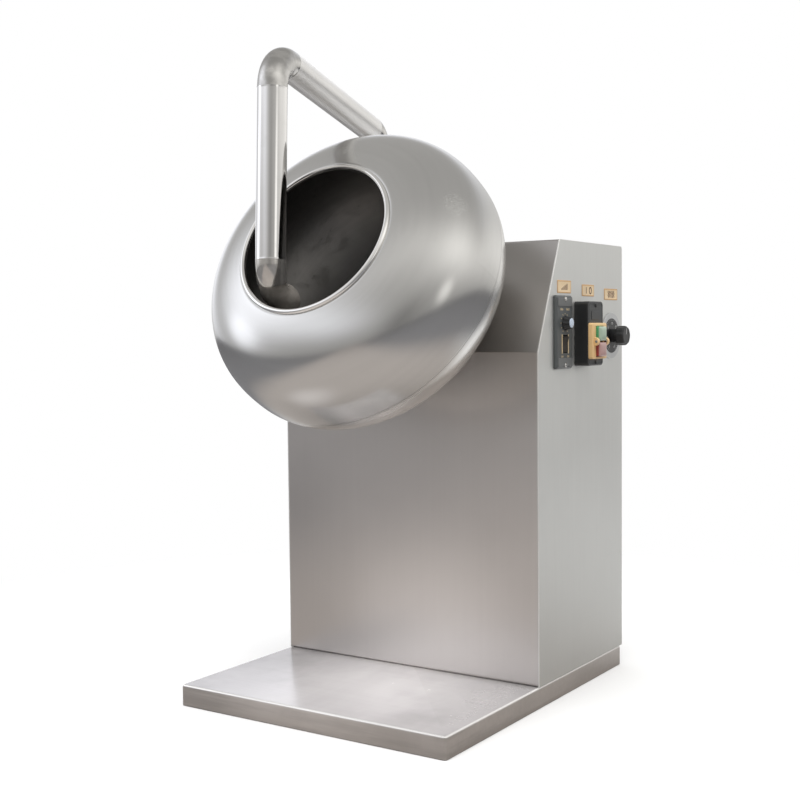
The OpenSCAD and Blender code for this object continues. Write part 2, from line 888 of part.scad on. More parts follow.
// Ribbed motor housing with both end bells
module motor_body() {
    fin_out = 3;
    fins = 9;
    color("#4a4f55")
        on_motor_axis(motor_end_s)
            difference() {
                union() {
                    round_block(motor_side, motor_side, bell_t, 10);
                    translate([0, 0, motor_len - bell_t])
                        round_block(motor_side, motor_side, bell_t, 8);
                    translate([0, 0, bell_t / 2])
                        cylinder(r = motor_side / 2 - fin_out, h = motor_len - bell_t);
                    for (i = [0:fins - 1])
                        translate([0, 0, bell_t + 6 + i * (motor_len - 2 * bell_t - 14) / (fins - 1)])
                            cylinder(r = motor_side / 2 - 0.5, h = 3);
                }
                translate([0, 0, bell_t])
                    cylinder(r = rotor_r + 1.5, h = motor_len - 2 * bell_t);
                translate([0, 0, bell_t / 2])
                    cylinder(d = rotor_shaft_d + 2 * fit, h = motor_len);
                translate([first_at[0], first_at[1], motor_len - bell_t / 2])
                    cylinder(d = pinion_shaft_d + 2 * fit, h = bell_t);
            }
}

// Direction from one shaft to another, in the gearhead's plane
function toward(from, to) = atan2(to[1] - from[1], to[0] - from[0]);

// Rotor and shaft, with the motor's pinion cut on the shaft's end
module motor_rotor() {
    color("#c2c2bd")
        on_motor_axis() {
            translate([0, 0, motor_end_s + bell_t + 8])
                cylinder(r = rotor_r, h = motor_len - 2 * bell_t - 16);
            translate([0, 0, motor_end_s + bell_t / 2 + 0.5])
                cylinder(d = rotor_shaft_d, h = motor_len - bell_t / 2 - 0.5 + 1);
            translate([0, 0, stage_one_s - gear_w])
                rotate([0, 0, toward([0, 0], first_at)])
                    spur_gear(motor_pinion, gear_w, gear_span, first_wheel, 0);
            translate([0, 0, motor_s])
                cylinder(r = 3.6, h = stage_one_s - gear_w - motor_s + 1);
        }
}

// First intermediate shaft: a large wheel and the second stage's pinion
module first_gear() {
    color("#b5b1a4")
        on_motor_axis()
            translate([first_at[0], first_at[1], 0]) {
                translate([0, 0, stage_one_s - gear_w])
                    rotate([0, 0, toward([0, 0], first_at) + 180 + 180 / first_wheel])
                        spur_gear(first_wheel, gear_w, gear_span, motor_pinion, 0);
                translate([0, 0, stage_two_s - gear_w])
                    rotate([0, 0, toward(first_at, second_at)])
                        spur_gear(first_pinion, gear_w, gear_span, second_wheel, 0);
                translate([0, 0, stage_one_s - 0.5])
                    cylinder(d = pinion_shaft_d, h = gearhead_s - front_wall + 3 - stage_one_s);
                translate([0, 0, motor_s - bell_t / 2 + 1])
                    cylinder(d = pinion_shaft_d, h = stage_one_s - gear_w - motor_s + bell_t / 2 - 0.5);
            }
}

// Second intermediate shaft, carried by the front wall and the partition
module second_gear() {
    color("#b5b1a4")
        on_motor_axis()
            translate([second_at[0], second_at[1], 0]) {
                translate([0, 0, stage_two_s - gear_w])
                    rotate([0, 0, toward(first_at, second_at) + 180 + 180 / second_wheel])
                        spur_gear(second_wheel, gear_w, gear_span, first_pinion, 0);
                translate([0, 0, stage_three_s - gear_w])
                    rotate([0, 0, toward(second_at, output_at)])
                        spur_gear(second_pinion, gear_w, gear_span, output_wheel, 0);
                translate([0, 0, partition_s - partition_t + gap])
                    cylinder(d = pinion_shaft_d, h = gearhead_s - front_wall + 3 - partition_s + partition_t);
            }
}

// Output wheel on the shaft that leaves the gearhead
module output_gear() {
    color("#c2c2bd")
        on_pan_axis() {
            translate([0, 0, stage_three_s - gear_w])
                rotate([0, 0, toward(second_at, output_at) + 180 + 180 / output_wheel])
                    spur_gear(output_wheel, gear_w, gear_span, second_pinion, 0);
            translate([0, 0, stage_three_s - 0.5])
                cylinder(d = output_d, h = shaft_split_s - 1 - stage_three_s + 0.5);
        }
}

// Clamping sleeve that joins the gearhead's shaft to the pan shaft
module shaft_coupling() {
    half = coupling_len / 2;
    color("#6c6f70")
        on_pan_axis(coupling_s - coupling_len)
            difference() {
                cylinder(d = coupling_d, h = coupling_len);
                translate([0, 0, -1])
                    cylinder(d = output_d + 2 * fit, h = half + 2);
                translate([0, 0, half])
                    cylinder(d = shaft_d + 2 * fit, h = half + 1);
                for (z = [half / 2, 1.5 * half])
                    translate([0, 0, z])
                        rotate([90, 0, 0])
                            cylinder(d = 5, h = coupling_d, $fn = 32);
                translate([0, 0, half - 1])
                    tube(coupling_d, coupling_d / 2 - 2, 2);
            }
}

// Pan

module pan_shaft() {
    start = flat_s - hub_flange / 2;
    color("#c6c6c1")
        on_pan_axis(shaft_split_s + 1)
            cylinder(d = shaft_d, h = start - shaft_split_s - 1);
}

// Places of the hub's bolts on the inside of the pan's flat back
module at_hub_bolts() {
    on_pan_axis(flat_s + pan_sheet)
        for (i = [0:3])
            rotate([0, 0, 45 + 90 * i])
                translate([hub_pcd / 2, 0, 0])
                    children();
}

// Flange and boss that carry the pan on its shaft
module pan_hub() {
    color(dark_steel)
        difference() {
            on_pan_axis()
                difference() {
                    union() {
                        translate([0, 0, hub_back_s])
                            cylinder(d = hub_d, h = hub_flange);
                        translate([0, 0, hub_end_s])
                            cylinder(d = hub_boss_d, h = hub_back_s - hub_end_s + 1);
                    }
                    translate([0, 0, hub_end_s - 1])
                        cylinder(d = shaft_d + 2 * fit, h = flat_s - hub_flange / 2 - hub_end_s + 1 + fit);
                }
            at_hub_bolts()
                cylinder(d = hub_bolt_d + 2 * screw_play, h = 6 * hub_flange, center = true, $fn = 32);
        }
}

module hub_bolts() {
    color("#a3a39e")
        at_hub_bolts()
            screw(hub_bolt_d, pan_sheet + hub_flange - 1, 2 * hub_bolt_d, 5);
}

// Rear half of the spun pan, flattened where the hub sits
module pan_rear() {
    in_r = pan_r - pan_sheet;
    in_len = rear_len - pan_sheet;
    outer_end = acos(flat_r / pan_r);
    inner_end = asin((-flat_s - pan_sheet) / in_len);
    outer = [for (i = [0:pan_steps]) pan_curve(pan_r, -rear_len, 2, outer_end * i / pan_steps)];
    inner = [for (i = [pan_steps:-1:0]) pan_curve(in_r, -in_len, 2, inner_end * i / pan_steps)];
    color(steel)
        difference() {
            on_pan_axis()
                rotate_extrude($fn = 144)
                    polygon(concat(outer, [[0, flat_s], [0, flat_s + pan_sheet]], inner));
            at_hub_bolts()
                cylinder(d = hub_bolt_d + 2 * screw_play, h = 6 * pan_sheet, center = true, $fn = 32);
        }
}

// Front half of the spun pan, with its rim rolled into a bead
module pan_front() {
    in_r = pan_r - pan_sheet;
    in_len = front_len - pan_sheet;
    inner_end = acos(pow(mouth_r / in_r, shoulder / 2));
    outer = [for (i = [0:pan_steps]) pan_curve(pan_r, front_len, shoulder, mouth_angle * i / pan_steps)];
    inner = [for (i = [pan_steps:-1:0]) pan_curve(in_r, in_len, shoulder, inner_end * i / pan_steps)];
    color(steel)
        on_pan_axis()
            union() {
                rotate_extrude($fn = 144)
                    polygon(concat(outer, inner));
                translate([0, 0, mouth_s - pan_sheet / 2])
                    rotate_extrude($fn = 144)
                        translate([mouth_r, 0])
                            circle(d = bead_d, $fn = 32);
            }
}

// Blower and heater

// Outline of the scroll, as [y, z] from the blower's axis, grown outward by t
function scroll_outline(t) = concat(
    [for (i = [0:scroll_steps])
        let (a = tongue_angle + (360 - tongue_angle) * i / scroll_steps,
            r = scroll_r0 + (scroll_r1 - scroll_r0) * i / scroll_steps + t)
        [r * cos(a), r * sin(a)]],
    [[scroll_r1 + t, outlet_rise], [scroll_r0 - t, outlet_rise]]);

// Scroll case with its back wall, open at the top and to the inlet plate
module blower_scroll() {
    x0 = riser_x - scroll_w / 2;
    color("#8d9092")
        translate([0, blower_y, blower_z])
            difference() {
                slab(scroll_outline(duct_sheet), x0 + duct_sheet, scroll_w - duct_sheet);
                slab(scroll_outline(0), x0, scroll_w - duct_sheet);
                translate([riser_x - scroll_w / 2 + duct_sheet, scroll_r0, outlet_rise - 10])
                    cube([scroll_w - 2 * duct_sheet, scroll_r1 - scroll_r0, 20]);
                translate([x0, 0, 0])
                    rotate([0, 90, 0])
                        cylinder(d = wheel_shaft_d + 2 * fit, h = 2 * scroll_w);
            }
}

// Inlet side of the scroll, with the rolled ring round its eye
module blower_inlet_plate() {
    x0 = riser_x - scroll_w / 2;
    eye_r = wheel_r * 0.62;
    color("#8d9092")
        translate([0, blower_y, blower_z])
            difference() {
                union() {
                    slab(scroll_outline(duct_sheet), x0, duct_sheet);
                    translate([x0 - 4, 0, 0])
                        rotate([0, 90, 0])
                            cylinder(r = eye_r + 3, h = 4.5);
                }
                translate([x0 - 5, 0, 0])
                    rotate([0, 90, 0])
                        cylinder(r = eye_r, h = 10);
            }
}

// Forward-curved wheel: back disc, curved blades, front ring, hub and shaft
module blower_wheel() {
    disc = 2;
    blade_in = wheel_r * 0.78;
    blade_arc = 10;
    x_back = riser_x + scroll_w / 2 - duct_sheet - 4;
    color("#aeb2b4")
        translate([x_back, blower_y, blower_z])
            rotate([0, -90, 0]) {
                cylinder(r = wheel_r, h = disc);
                cylinder(r = 11, h = 22);
                translate([0, 0, -4 - duct_sheet - 20])
                    cylinder(d = wheel_shaft_d, h = 30 + duct_sheet);
                translate([0, 0, wheel_w - disc])
                    tube(wheel_r, blade_in, disc);
                for (i = [0:blade_count - 1])
                    rotate([0, 0, 360 / blade_count * i])
                        translate([(wheel_r + blade_in) / 2, 0, disc / 2])
                            linear_extrude(wheel_w - disc)
                                polygon(concat(
                                    [for (k = [-2:2]) [k * 2.1, 0.06 * k * k * blade_arc / 4]],
                                    [for (k = [2:-1:-2]) [k * 2.1, 0.06 * k * k * blade_arc / 4 + 1]]));
            }
}

module blower_motor() {
    x0 = riser_x + scroll_w / 2;
    color("#4a4f55")
        translate([x0, blower_y, blower_z])
            rotate([0, 90, 0])
                difference() {
                    union() {
                        cylinder(d = blower_motor_d, h = 5);
                        cylinder(d = blower_motor_d - 8, h = blower_motor_len);
                        for (i = [0:3])
                            translate([0, 0, 14 + i * (blower_motor_len - 18) / 4])
                                cylinder(d = blower_motor_d - 3, h = 3);
                    }
                    translate([0, 0, -1])
                        cylinder(d = wheel_shaft_d + 2 * fit, h = 24);
                }
}

// Folded foot that carries the scroll on the base
module blower_foot() {
    half = 34;
    color(dark_steel)
        translate([riser_x - scroll_w / 2, blower_y, base_h])
            difference() {
                union() {
                    translate([0, -half, 0])
                        cube([scroll_w, 2 * half, 3]);
                    for (x = [0, scroll_w - 3])
                        translate([x, -half, 0])
                            cube([3, 2 * half, foot_h + 30]);
                }
                translate([-1, 0, blower_z - base_h])
                    rotate([0, 90, 0])
                        slab_scroll_clear();
            }
}

// Space that the foot leaves for the scroll
module slab_scroll_clear() {
    rotate([0, -90, 0])
        slab(scroll_outline(duct_sheet + 0.02), 0, scroll_w + 2);
}

// Square duct between the blower and the sleeve
module heater_duct() {
    in_side = heater_side - 2 * duct_sheet;
    half = heater_side / 2;
    color("#a0a29f")
        translate([riser_x, riser_y, heater_z])
            difference() {
                translate([-half, -half, 0])
                    cube([heater_side, heater_side, heater_len]);
                translate([-in_side / 2, -in_side / 2, duct_sheet])
                    cube([in_side, in_side, heater_len - 2 * duct_sheet]);
                translate([-scroll_w / 2 + duct_sheet, -outlet_mid + scroll_r0, -1])
                    cube([scroll_w - 2 * duct_sheet, scroll_r1 - scroll_r0, duct_sheet + 2]);
                translate([0, 0, heater_len - 2 * duct_sheet])
                    cylinder(r = pipe_in_r, h = 3 * duct_sheet);
                for (x = [-1, 1])
                    translate([half - 5, x * element_pitch / 2, 30])
                        rotate([0, 90, 0])
                            cylinder(d = element_d + 2 * fit, h = 10);
            }
}

element_d = 8;
element_pitch = 32;
element_rise = 150;

// Sheathed heating rod, bent into a long loop, with its two ends out through the duct's wall
module heater_element() {
    reach = heater_side / 2 + 14;
    bend = element_pitch / 2;
    color("#6d675f")
        translate([riser_x, riser_y, heater_z + 30]) {
            for (side = [-1, 1]) {
                translate([0, side * bend, 0])
                    cylinder(d = element_d, h = element_rise, $fn = 48);
                translate([0, side * bend, 0])
                    sphere(d = element_d, $fn = 48);
                translate([0, side * bend, 0])
                    rotate([0, 90, 0])
                        cylinder(d = element_d, h = reach, $fn = 48);
            }
            translate([0, 0, element_rise])
                rotate([0, -90, 0])
                    rotate([0, 0, -90])
                        rotate_extrude(angle = 180, $fn = 96)
                            translate([bend, 0])
                                circle(d = element_d, $fn = 48);
        }
}

// Sleeve in which the riser slides, with the flange that its foot rests on
module outlet_sleeve() {
    bore_r = pipe_d / 2 + fit;
    height = cab_h - sheet - sleeve_z;
    color("#a0a29f")
        translate([riser_x, riser_y, sleeve_z])
            difference() {
                union() {
                    cylinder(r = heater_side / 2 - 2, h = sleeve_flange);
                    cylinder(r = bore_r + sleeve_wall, h = height);
                }
                translate([0, 0, sleeve_flange])
                    cylinder(r = bore_r, h = height);
                translate([0, 0, -1])
                    cylinder(r = pipe_in_r, h = height);
            }
}

collar_screw_d = 5;
clamp_d = 8;
clamp_z = 16;
collar_r = pipe_d / 2 + 7;

// Places of the collar's screws, on its flange
module at_collar_screws() {
    for (i = [0:2])
        translate([riser_x, riser_y, cab_h + collar_flange])
            rotate([0, 0, 30 + 120 * i])
                translate([collar_r + 6, 0, 0])
                    children();
}

// Turned collar on the cabinet's top
module pipe_collar() {
    color(steel)
        difference() {
            translate([riser_x, riser_y, cab_h])
                difference() {
                    union() {
                        cylinder(r = collar_r + 12, h = collar_flange);
                        cylinder(r = collar_r, h = collar_h);
                    }
                    translate([0, 0, -1])
                        cylinder(r = pipe_d / 2 + fit, h = collar_h + 2);
                    translate([0, 0, clamp_z])
                        rotate([-90, 0, 0])
                            cylinder(d = clamp_d + 2 * fit, h = 60);
                }
            at_collar_screws()
                cylinder(d = collar_screw_d + 2 * screw_play, h = 20, center = true, $fn = 32);
        }
}

// Thumb screw that clamps the riser, pointing to the rear
module clamp_screw() {
    start = pipe_d / 2 + gap;
    color(black)
        translate([riser_x, riser_y + start, cab_h + clamp_z])
            rotate([-90, 0, 0])
                union() {
                    cylinder(d = clamp_d, h = 16);
                    translate([0, 0, 12])
                        difference() {
                            cylinder(d = 22, h = 9);
                            for (i = [0:7])
                                rotate([0, 0, 45 * i])
                                    translate([12, 0, -1])
                                        cylinder(d = 5, h = 11, $fn = 32);
                        }
                }
}

// Air pipe: each piece starts where the last one ended, its +Z along the pipe

module at_riser_top() {
    translate([riser_x, riser_y, rear_corner_z - rear_cut])
        rotate([0, 0, run_swing - 90])
            children();
}

// Carries children past an elbow that turns from +Z towards +X
module past_elbow(bend) {
    translate([elbow_r * (1 - cos(bend)), 0, elbow_r * sin(bend)])
        rotate([0, bend, 0])
            children();
}

module at_run() {
    at_riser_top()
        past_elbow(rear_bend)
            children();
}

module at_front_elbow() {
    at_run()
        translate([0, 0, run_straight])
            children();
}

module at_drop() {
    at_front_elbow()
        past_elbow(front_bend)
            children();
}

module at_knee() {
    at_drop()
        translate([0, 0, drop_straight])
            rotate([0, 0, knee_turn])
                children();
}

module at_nozzle() {
    at_knee()
        past_elbow(knee_bend)
            children();
}

// A hollow elbow from +Z towards +X
module elbow(bend, outer_r, inner_r, centre_r) {
    translate([centre_r, 0, 0])
        rotate([90, 0, 180])
            rotate_extrude(angle = bend, $fn = 96)
                translate([centre_r, 0])
                    difference() {
                        circle(r = outer_r, $fn = 64);
                        circle(r = inner_r, $fn = 64);
                    }
}

module riser_tube() {
    color("#c4c4c0")
        translate([riser_x, riser_y, riser_foot_z])
            tube(pipe_d / 2, pipe_in_r, rear_corner_z - rear_cut - riser_foot_z);
}

module rear_elbow() {
    color("#a8a7a0")
        at_riser_top()
            elbow(rear_bend, pipe_d / 2, pipe_in_r, elbow_r);
}

module run_tube() {
    color("#c4c4c0")
        at_run()
            tube(pipe_d / 2, pipe_in_r, run_straight);
}

module front_elbow() {
    color("#a8a7a0")
        at_front_elbow()
            elbow(front_bend, pipe_d / 2, pipe_in_r, elbow_r);
}

module drop_tube() {
    color("#c4c4c0")
        at_drop()
            tube(pipe_d / 2, pipe_in_r, drop_straight);
}

module knee_elbow() {
    color("#a8a7a0")
        at_knee()
            elbow(knee_bend, pipe_d / 2, pipe_in_r, elbow_r);
}

// Straight socket in which the nozzle turns
module nozzle_socket() {
    color("#a8a7a0")
        at_nozzle()
            tube(pipe_d / 2, pipe_in_r, knee_socket);
}

nozzle_bend_r = 28;
// Narrower end piece that turns in the knee's socket
module nozzle() {
    inner_r = nozzle_r - pipe_wall;
    straight = knee_socket + nozzle_len;
    color("#9b9a92")
        at_nozzle()
            rotate([0, 0, nozzle_turn]) {
                tube(nozzle_r, inner_r, straight);
                translate([0, 0, straight])
                    elbow(nozzle_bend, nozzle_r, inner_r, nozzle_bend_r);
            }
}

// Controls

speed_body_w = speed_w - 10;
speed_body_h = speed_h - 20;
speed_body_deep = 38;
speed_knob_z = 11.8;
rocker_z = -15.5;
rocker_w = 15;
rocker_h = 23;
rocker_deep = 7;
rocker_pin_d = 2.4;

// Plate and body of the speed unit, with the rocker's well and the knob's bore
module speed_unit() {
    color("#3c4550")
        on_side(speed_mid_y, speed_z)
            difference() {
                union() {
                    round_block(speed_w, speed_h, speed_plate_t, 3);
                    translate([-speed_body_w / 2, -speed_body_h / 2, -speed_body_deep])
                        cube([speed_body_w, speed_body_h, speed_body_deep + 1]);
                }
                translate([0, speed_knob_z, -6])
                    cylinder(d = stem_d + 2 * fit, h = 20);
                translate([-rocker_w / 2 - gap, rocker_z - rocker_h / 2 - gap, speed_plate_t - rocker_deep - 3])
                    cube([rocker_w + 2 * gap, rocker_h + 2 * gap, rocker_deep + 4]);
                translate([0, rocker_z, speed_plate_t - 2.5])
                    rotate([0, 90, 0])
                        cylinder(d = rocker_pin_d + 2 * fit, h = rocker_w + 5, center = true, $fn = 32);
                at_unit_screws()
                    cylinder(d = 3 + 2 * screw_play, h = 20, center = true, $fn = 32);
            }
}

// Places of the speed unit's two screws, on its plate
module at_unit_screws() {
    for (side = [-1, 1])
        translate([0, side * (speed_h / 2 - 5), speed_plate_t])
            children();
}

// Small fluted knob on its stem
module speed_knob() {
    height = 11;
    color(black)
        on_side(speed_mid_y, speed_z)
            translate([0, speed_knob_z, speed_plate_t + gap]) {
                fluted_knob(speed_knob_d, height, 8, 1.6);
                translate([0, 0, -8])
                    cylinder(d = stem_d, h = 9);
            }
}

// A knob with flutes round it
module fluted_knob(d, height, flutes, flute_r) {
    difference() {
        cylinder(d = d, h = height);
        for (i = [0:flutes - 1])
            rotate([0, 0, 360 / flutes * (i + 0.5)])
                translate([d / 2 + flute_r * 0.45, 0, -1])
                    cylinder(r = flute_r, h = height + 2, $fn = 32);
    }
}

rocker_tilt = 8;
// Rocker, lying with its upper end pressed in
module run_rocker() {
    color("#2a2d30")
        on_side(speed_mid_y, speed_z)
            translate([0, rocker_z, speed_plate_t - 2.5])
                rotate([rocker_tilt, 0, 0])
                    union() {
                        slab_rocker();
                        rotate([0, 90, 0])
                            cylinder(d = rocker_pin_d, h = rocker_w + 3, center = true, $fn = 32);
                    }
}

// Body of the rocker: a shallow vee on top, a round belly below
module slab_rocker() {
    half = rocker_h / 2 - 1.2;
    translate([-rocker_w / 2, 0, 0])
        rotate([90, 0, 90])
            linear_extrude(rocker_w)
                polygon([[-half, 3.4], [0, 2.4], [half, 3.4], [half, -1], [4, -4], [-4, -4], [-half, -1]]);
}

block_w = box_w - 12;
block_h = bezel_h - 6;
block_deep = 26;
block_front = box_deep - 9;

// Black box on the panel, hollow, with a window for the bezel
module switch_box() {
    color(black)
        on_side(box_mid_y, box_z)
            difference() {
                round_block(box_w, box_h, box_deep, 5);
                translate([0, 0, -1])
                    round_block(box_w - 2 * box_wall, box_h - 2 * box_wall, box_deep - box_wall + 1, 3);
                translate([-well_w / 2 - 1.5, -bezel_drop - well_h / 2 - 1.5, 0])
                    cube([well_w + 3, well_h + 3, box_deep + 1]);
                at_box_screws()
                    cylinder(d = 3.5 + 2 * screw_play, h = 40, center = true, $fn = 32);
            }
}

// Places of the switch box's two screws, on its face
module at_box_screws() {
    for (side = [-1, 1])
        translate([0, side * (box_h / 2 - 4), box_deep])
            children();
}

// Contact block behind the buttons, in the panel's cut-out
module switch_block() {
    color("#2b2e31")
        on_side(box_mid_y, bezel_z)
            difference() {
                translate([-block_w / 2, -block_h / 2, block_front - block_deep])
                    cube([block_w, block_h, block_deep]);
                for (side = [-1, 1])
                    translate([0, side * (button_h + button_gap) / 2, block_front - 8])
                        cylinder(d = stem_d + 2 * fit, h = 20);
            }
}

lug_h = 11;
lug_t = 4;
// Bezel round the two buttons, with a lug each side
module switch_bezel() {
    color("#e0a050")
        on_side(box_mid_y, bezel_z)
            translate([0, 0, box_deep])
                difference() {
                    union() {
                        round_block(box_w - 2, bezel_h, bezel_out, 3);
                        translate([-well_w / 2 - 1.2, -well_h / 2 - 1.2, -box_wall - 1])
                            cube([well_w + 2.4, well_h + 2.4, box_wall + 2]);
                        for (side = [-1, 1])
                            translate([side * (well_w / 2 + 4) - lug_t / 2, 0, bezel_out])
                                rotate([0, 90, 0])
                                    union() {
                                        cylinder(d = lug_h, h = lug_t, $fn = 48);
                                        translate([0, -lug_h / 2, 0])
                                            cube([2, lug_h, lug_t]);
                                    }
                    }
                    translate([-well_w / 2, -well_h / 2, -10])
                        cube([well_w, well_h, 30]);
                }
}

// A push button with its stem, its middle at height z from the bezel's middle
module push_button(z) {
    button_back = block_front + button_travel + gap;
    height = box_deep + bezel_out + button_out - button_back;
    on_side(box_mid_y, bezel_z)
        translate([0, z, button_back]) {
            round_block(button_w, button_h, height, 2);
            translate([0, 0, -button_travel - 4])
                cylinder(d = stem_d, h = button_travel + 5);
        }
}

module green_button() {
    color("#3fae6b")
        push_button((button_h + button_gap) / 2);
}

module red_button() {
    color("#b8262b")
        push_button(-(button_h + button_gap) / 2);
}

disc_d = dial_d - 16;
// Round scale plate round the heater knob, with a raised disc
module dial_plate() {
    color("#c3c5c8")
        on_side(dial_mid_y, dial_z)
            difference() {
                union() {
                    cylinder(d = dial_d, h = dial_plate_t);
                    cylinder(d = disc_d, h = dial_plate_t + 0.5);
                }
                translate([0, 0, -1])
                    cylinder(r = stem_d / 2 + 1, h = 2 * dial_plate_t + 2);
            }
}

// Thermostat behind the panel, with the bore for the knob's stem
module thermostat() {
    deep = 32;
    color("#d8d3c6")
        on_side(dial_mid_y, dial_z)
            translate([0, 0, -sheet - deep])
                difference() {
                    round_block(40, 36, deep, 4);
                    translate([0, 0, deep - 14])
                        cylinder(d = stem_d + 2 * fit, h = 20);
                }
}

module heater_knob() {
    root = dial_plate_t + 0.5 + gap;
    color(black)
        on_side(dial_mid_y, dial_z)
            translate([0, 0, root]) {
                translate([0, 0, knob_len / 2])
                    fluted_knob(knob_d, knob_len / 2, 12, 1.8);
                cylinder(d = 15, h = knob_len / 2 + 1);
                translate([0, 0, -root - sheet - 12])
                    cylinder(d = stem_d, h = root + sheet + 13);
            }
}

// Screws of the speed unit, the switch box and the collar
module control_screws() {
    color("#a3a39e") {
        on_side(speed_mid_y, speed_z)
            at_unit_screws()
                screw(3, speed_plate_t - 0.5, 6, 1.6);
        on_side(box_mid_y, box_z)
            at_box_screws()
                screw(3.5, box_deep - 0.5, 5, 1.4);
        at_collar_screws()
            screw(collar_screw_d, collar_flange + sheet + 4, 9, 2.6);
    }
}

base_tray();
base_stiffeners();
cabinet_wrap();
side_panel_left();
side_panel_right();
back_panel();
back_screws();
cable_gland();
shaft_ring();
drive_cheek_left();
drive_cheek_right();
bearing_plate();
gearbox_plate();
frame_bolts();
bearing_housing();
bearing_outer_race();
bearing_inner_race();
gearhead_case();
gear_partition();
motor_body();
motor_rotor();
first_gear();
second_gear();
output_gear();
shaft_coupling();
pan_shaft();
pan_hub();
hub_bolts();
pan_rear();
pan_front();
blower_scroll();
blower_inlet_plate();
blower_wheel();
blower_motor();
blower_foot();
heater_duct();
heater_element();
outlet_sleeve();
pipe_collar();
clamp_screw();
riser_tube();
rear_elbow();
run_tube();
front_elbow();
drop_tube();
knee_elbow();
nozzle_socket();
nozzle();
speed_unit();
speed_knob();
run_rocker();
switch_box();
switch_block();
switch_bezel();
green_button();
red_button();
dial_plate();
thermostat();
heater_knob();
control_screws();
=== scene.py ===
import math

import bpy
from mathutils import Matrix, Vector


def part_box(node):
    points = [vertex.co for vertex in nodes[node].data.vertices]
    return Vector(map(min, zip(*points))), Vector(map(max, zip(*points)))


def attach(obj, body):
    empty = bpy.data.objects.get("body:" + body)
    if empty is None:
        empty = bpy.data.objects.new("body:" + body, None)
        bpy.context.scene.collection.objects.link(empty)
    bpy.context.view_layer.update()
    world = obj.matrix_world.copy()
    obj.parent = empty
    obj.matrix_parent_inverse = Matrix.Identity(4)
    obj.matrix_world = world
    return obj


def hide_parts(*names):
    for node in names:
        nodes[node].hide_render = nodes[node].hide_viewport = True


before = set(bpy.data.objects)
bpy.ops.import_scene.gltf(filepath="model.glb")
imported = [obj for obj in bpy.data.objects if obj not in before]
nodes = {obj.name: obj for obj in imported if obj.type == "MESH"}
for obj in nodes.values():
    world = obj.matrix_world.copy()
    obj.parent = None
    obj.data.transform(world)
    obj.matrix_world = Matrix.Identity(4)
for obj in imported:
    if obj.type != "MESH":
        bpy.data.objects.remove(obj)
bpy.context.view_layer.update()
MM = 0.001

# Camera: the photograph's own view, from the front right at about the pan's height, looking
# three degrees down, with half a degree of roll.
yaw, pitch, roll = math.radians(33.54), math.radians(3.22), math.radians(-0.57)
look = Vector((-math.sin(yaw) * math.cos(pitch), math.cos(yaw) * math.cos(pitch), -math.sin(pitch)))
level = Vector((math.cos(yaw), math.sin(yaw), 0))
upright = level.cross(look)
right = level * math.cos(roll) + upright * math.sin(roll)
up = upright * math.cos(roll) - level * math.sin(roll)
camera = bpy.data.objects.new("camera", bpy.data.cameras.new("camera"))
camera.data.sensor_width = 36
camera.data.lens = 56.57
camera.data.clip_start = 0.05
camera.data.clip_end = 60
turn = Matrix((right, up, -look)).transposed().to_4x4()
camera.matrix_world = Matrix.Translation(Vector((936.6, -1437.7, 489.9)) * MM) @ turn
bpy.context.scene.collection.objects.link(camera)
bpy.context.scene.camera = camera
bpy.context.scene.view_settings.view_transform = "Standard"


class Value:
    """One output in a node tree, with arithmetic that adds Math nodes."""

    def __init__(self, tree, socket):
        self.tree = tree
        self.socket = socket

    def math(self, kind, *terms):
        return self.node("ShaderNodeMath", {"operation": kind}, dict(enumerate(terms)))

    def node(self, kind, settings=None, inputs=None, output=0):
        made = self.tree.nodes.new(kind)
        for key, setting in (settings or {}).items():
            setattr(made, key, setting)
        for key, given in (inputs or {}).items():
            if isinstance(given, Value):
                self.tree.links.new(given.socket, made.inputs[key])
            else:
                made.inputs[key].default_value = given
        return Value(self.tree, made.outputs[output] if made.outputs else None)

    def __add__(self, other):
        return self.math("ADD", self, other)

    def __sub__(self, other):
        return self.math("SUBTRACT", self, other)

    def __mul__(self, other):
        return self.math("MULTIPLY", self, other)

    def __truediv__(self, other):
        return self.math("DIVIDE", self, other)

    def __radd__(self, other):
        return self.math("ADD", other, self)

    def __rsub__(self, other):
        return self.math("SUBTRACT", other, self)

    def __rmul__(self, other):
        return self.math("MULTIPLY", other, self)

    def __neg__(self):
        return self.math("MULTIPLY", self, -1.0)

    def power(self, exponent):
        return self.math("POWER", self, exponent)

    def smooth(self, low, high, out_low=0.0, out_high=1.0):
        """Smooth step from low to high."""
        inputs = {"Value": self, "From Min": low, "From Max": high, "To Min": out_low, "To Max": out_high}
        return self.node("ShaderNodeMapRange", {"interpolation_type": "SMOOTHSTEP"}, inputs)

    def mix(self, a, b):
        """Colour a where this is 0 and colour b where it is 1."""
        return self.node("ShaderNodeMix", {"data_type": "RGBA"}, {0: self, 6: a, 7: b}, 2)

    def stretch(self, x, y, z):
        """This vector, scaled on each axis."""
        return self.vector("MULTIPLY", (x, y, z))

    def noise(self, scale, detail=2.0, rough=0.5, distort=0.0):
        inputs = {"Vector": self, "Scale": scale, "Detail": detail, "Roughness": rough, "Distortion": distort}
        return self.node("ShaderNodeTexNoise", None, inputs)

    def part(self, index):
        """One component of this vector."""
        return self.node("ShaderNodeSeparateXYZ", None, {0: self}, index)

    def magnitude(self):
        return self.math("ABSOLUTE", self)

    def exp(self):
        return self.math("EXPONENT", self)

    def vector(self, kind, other, output=0):
        """A vector node on this and another vector."""
        return self.node("ShaderNodeVectorMath", {"operation": kind}, {0: self, 1: other}, output)

    def away_from(self, spot):
        """Distance from this point to a spot."""
        return self.vector("DISTANCE", spot, 1)

    def length(self):
        return self.node("ShaderNodeVectorMath", {"operation": "LENGTH"}, {0: self}, 1)


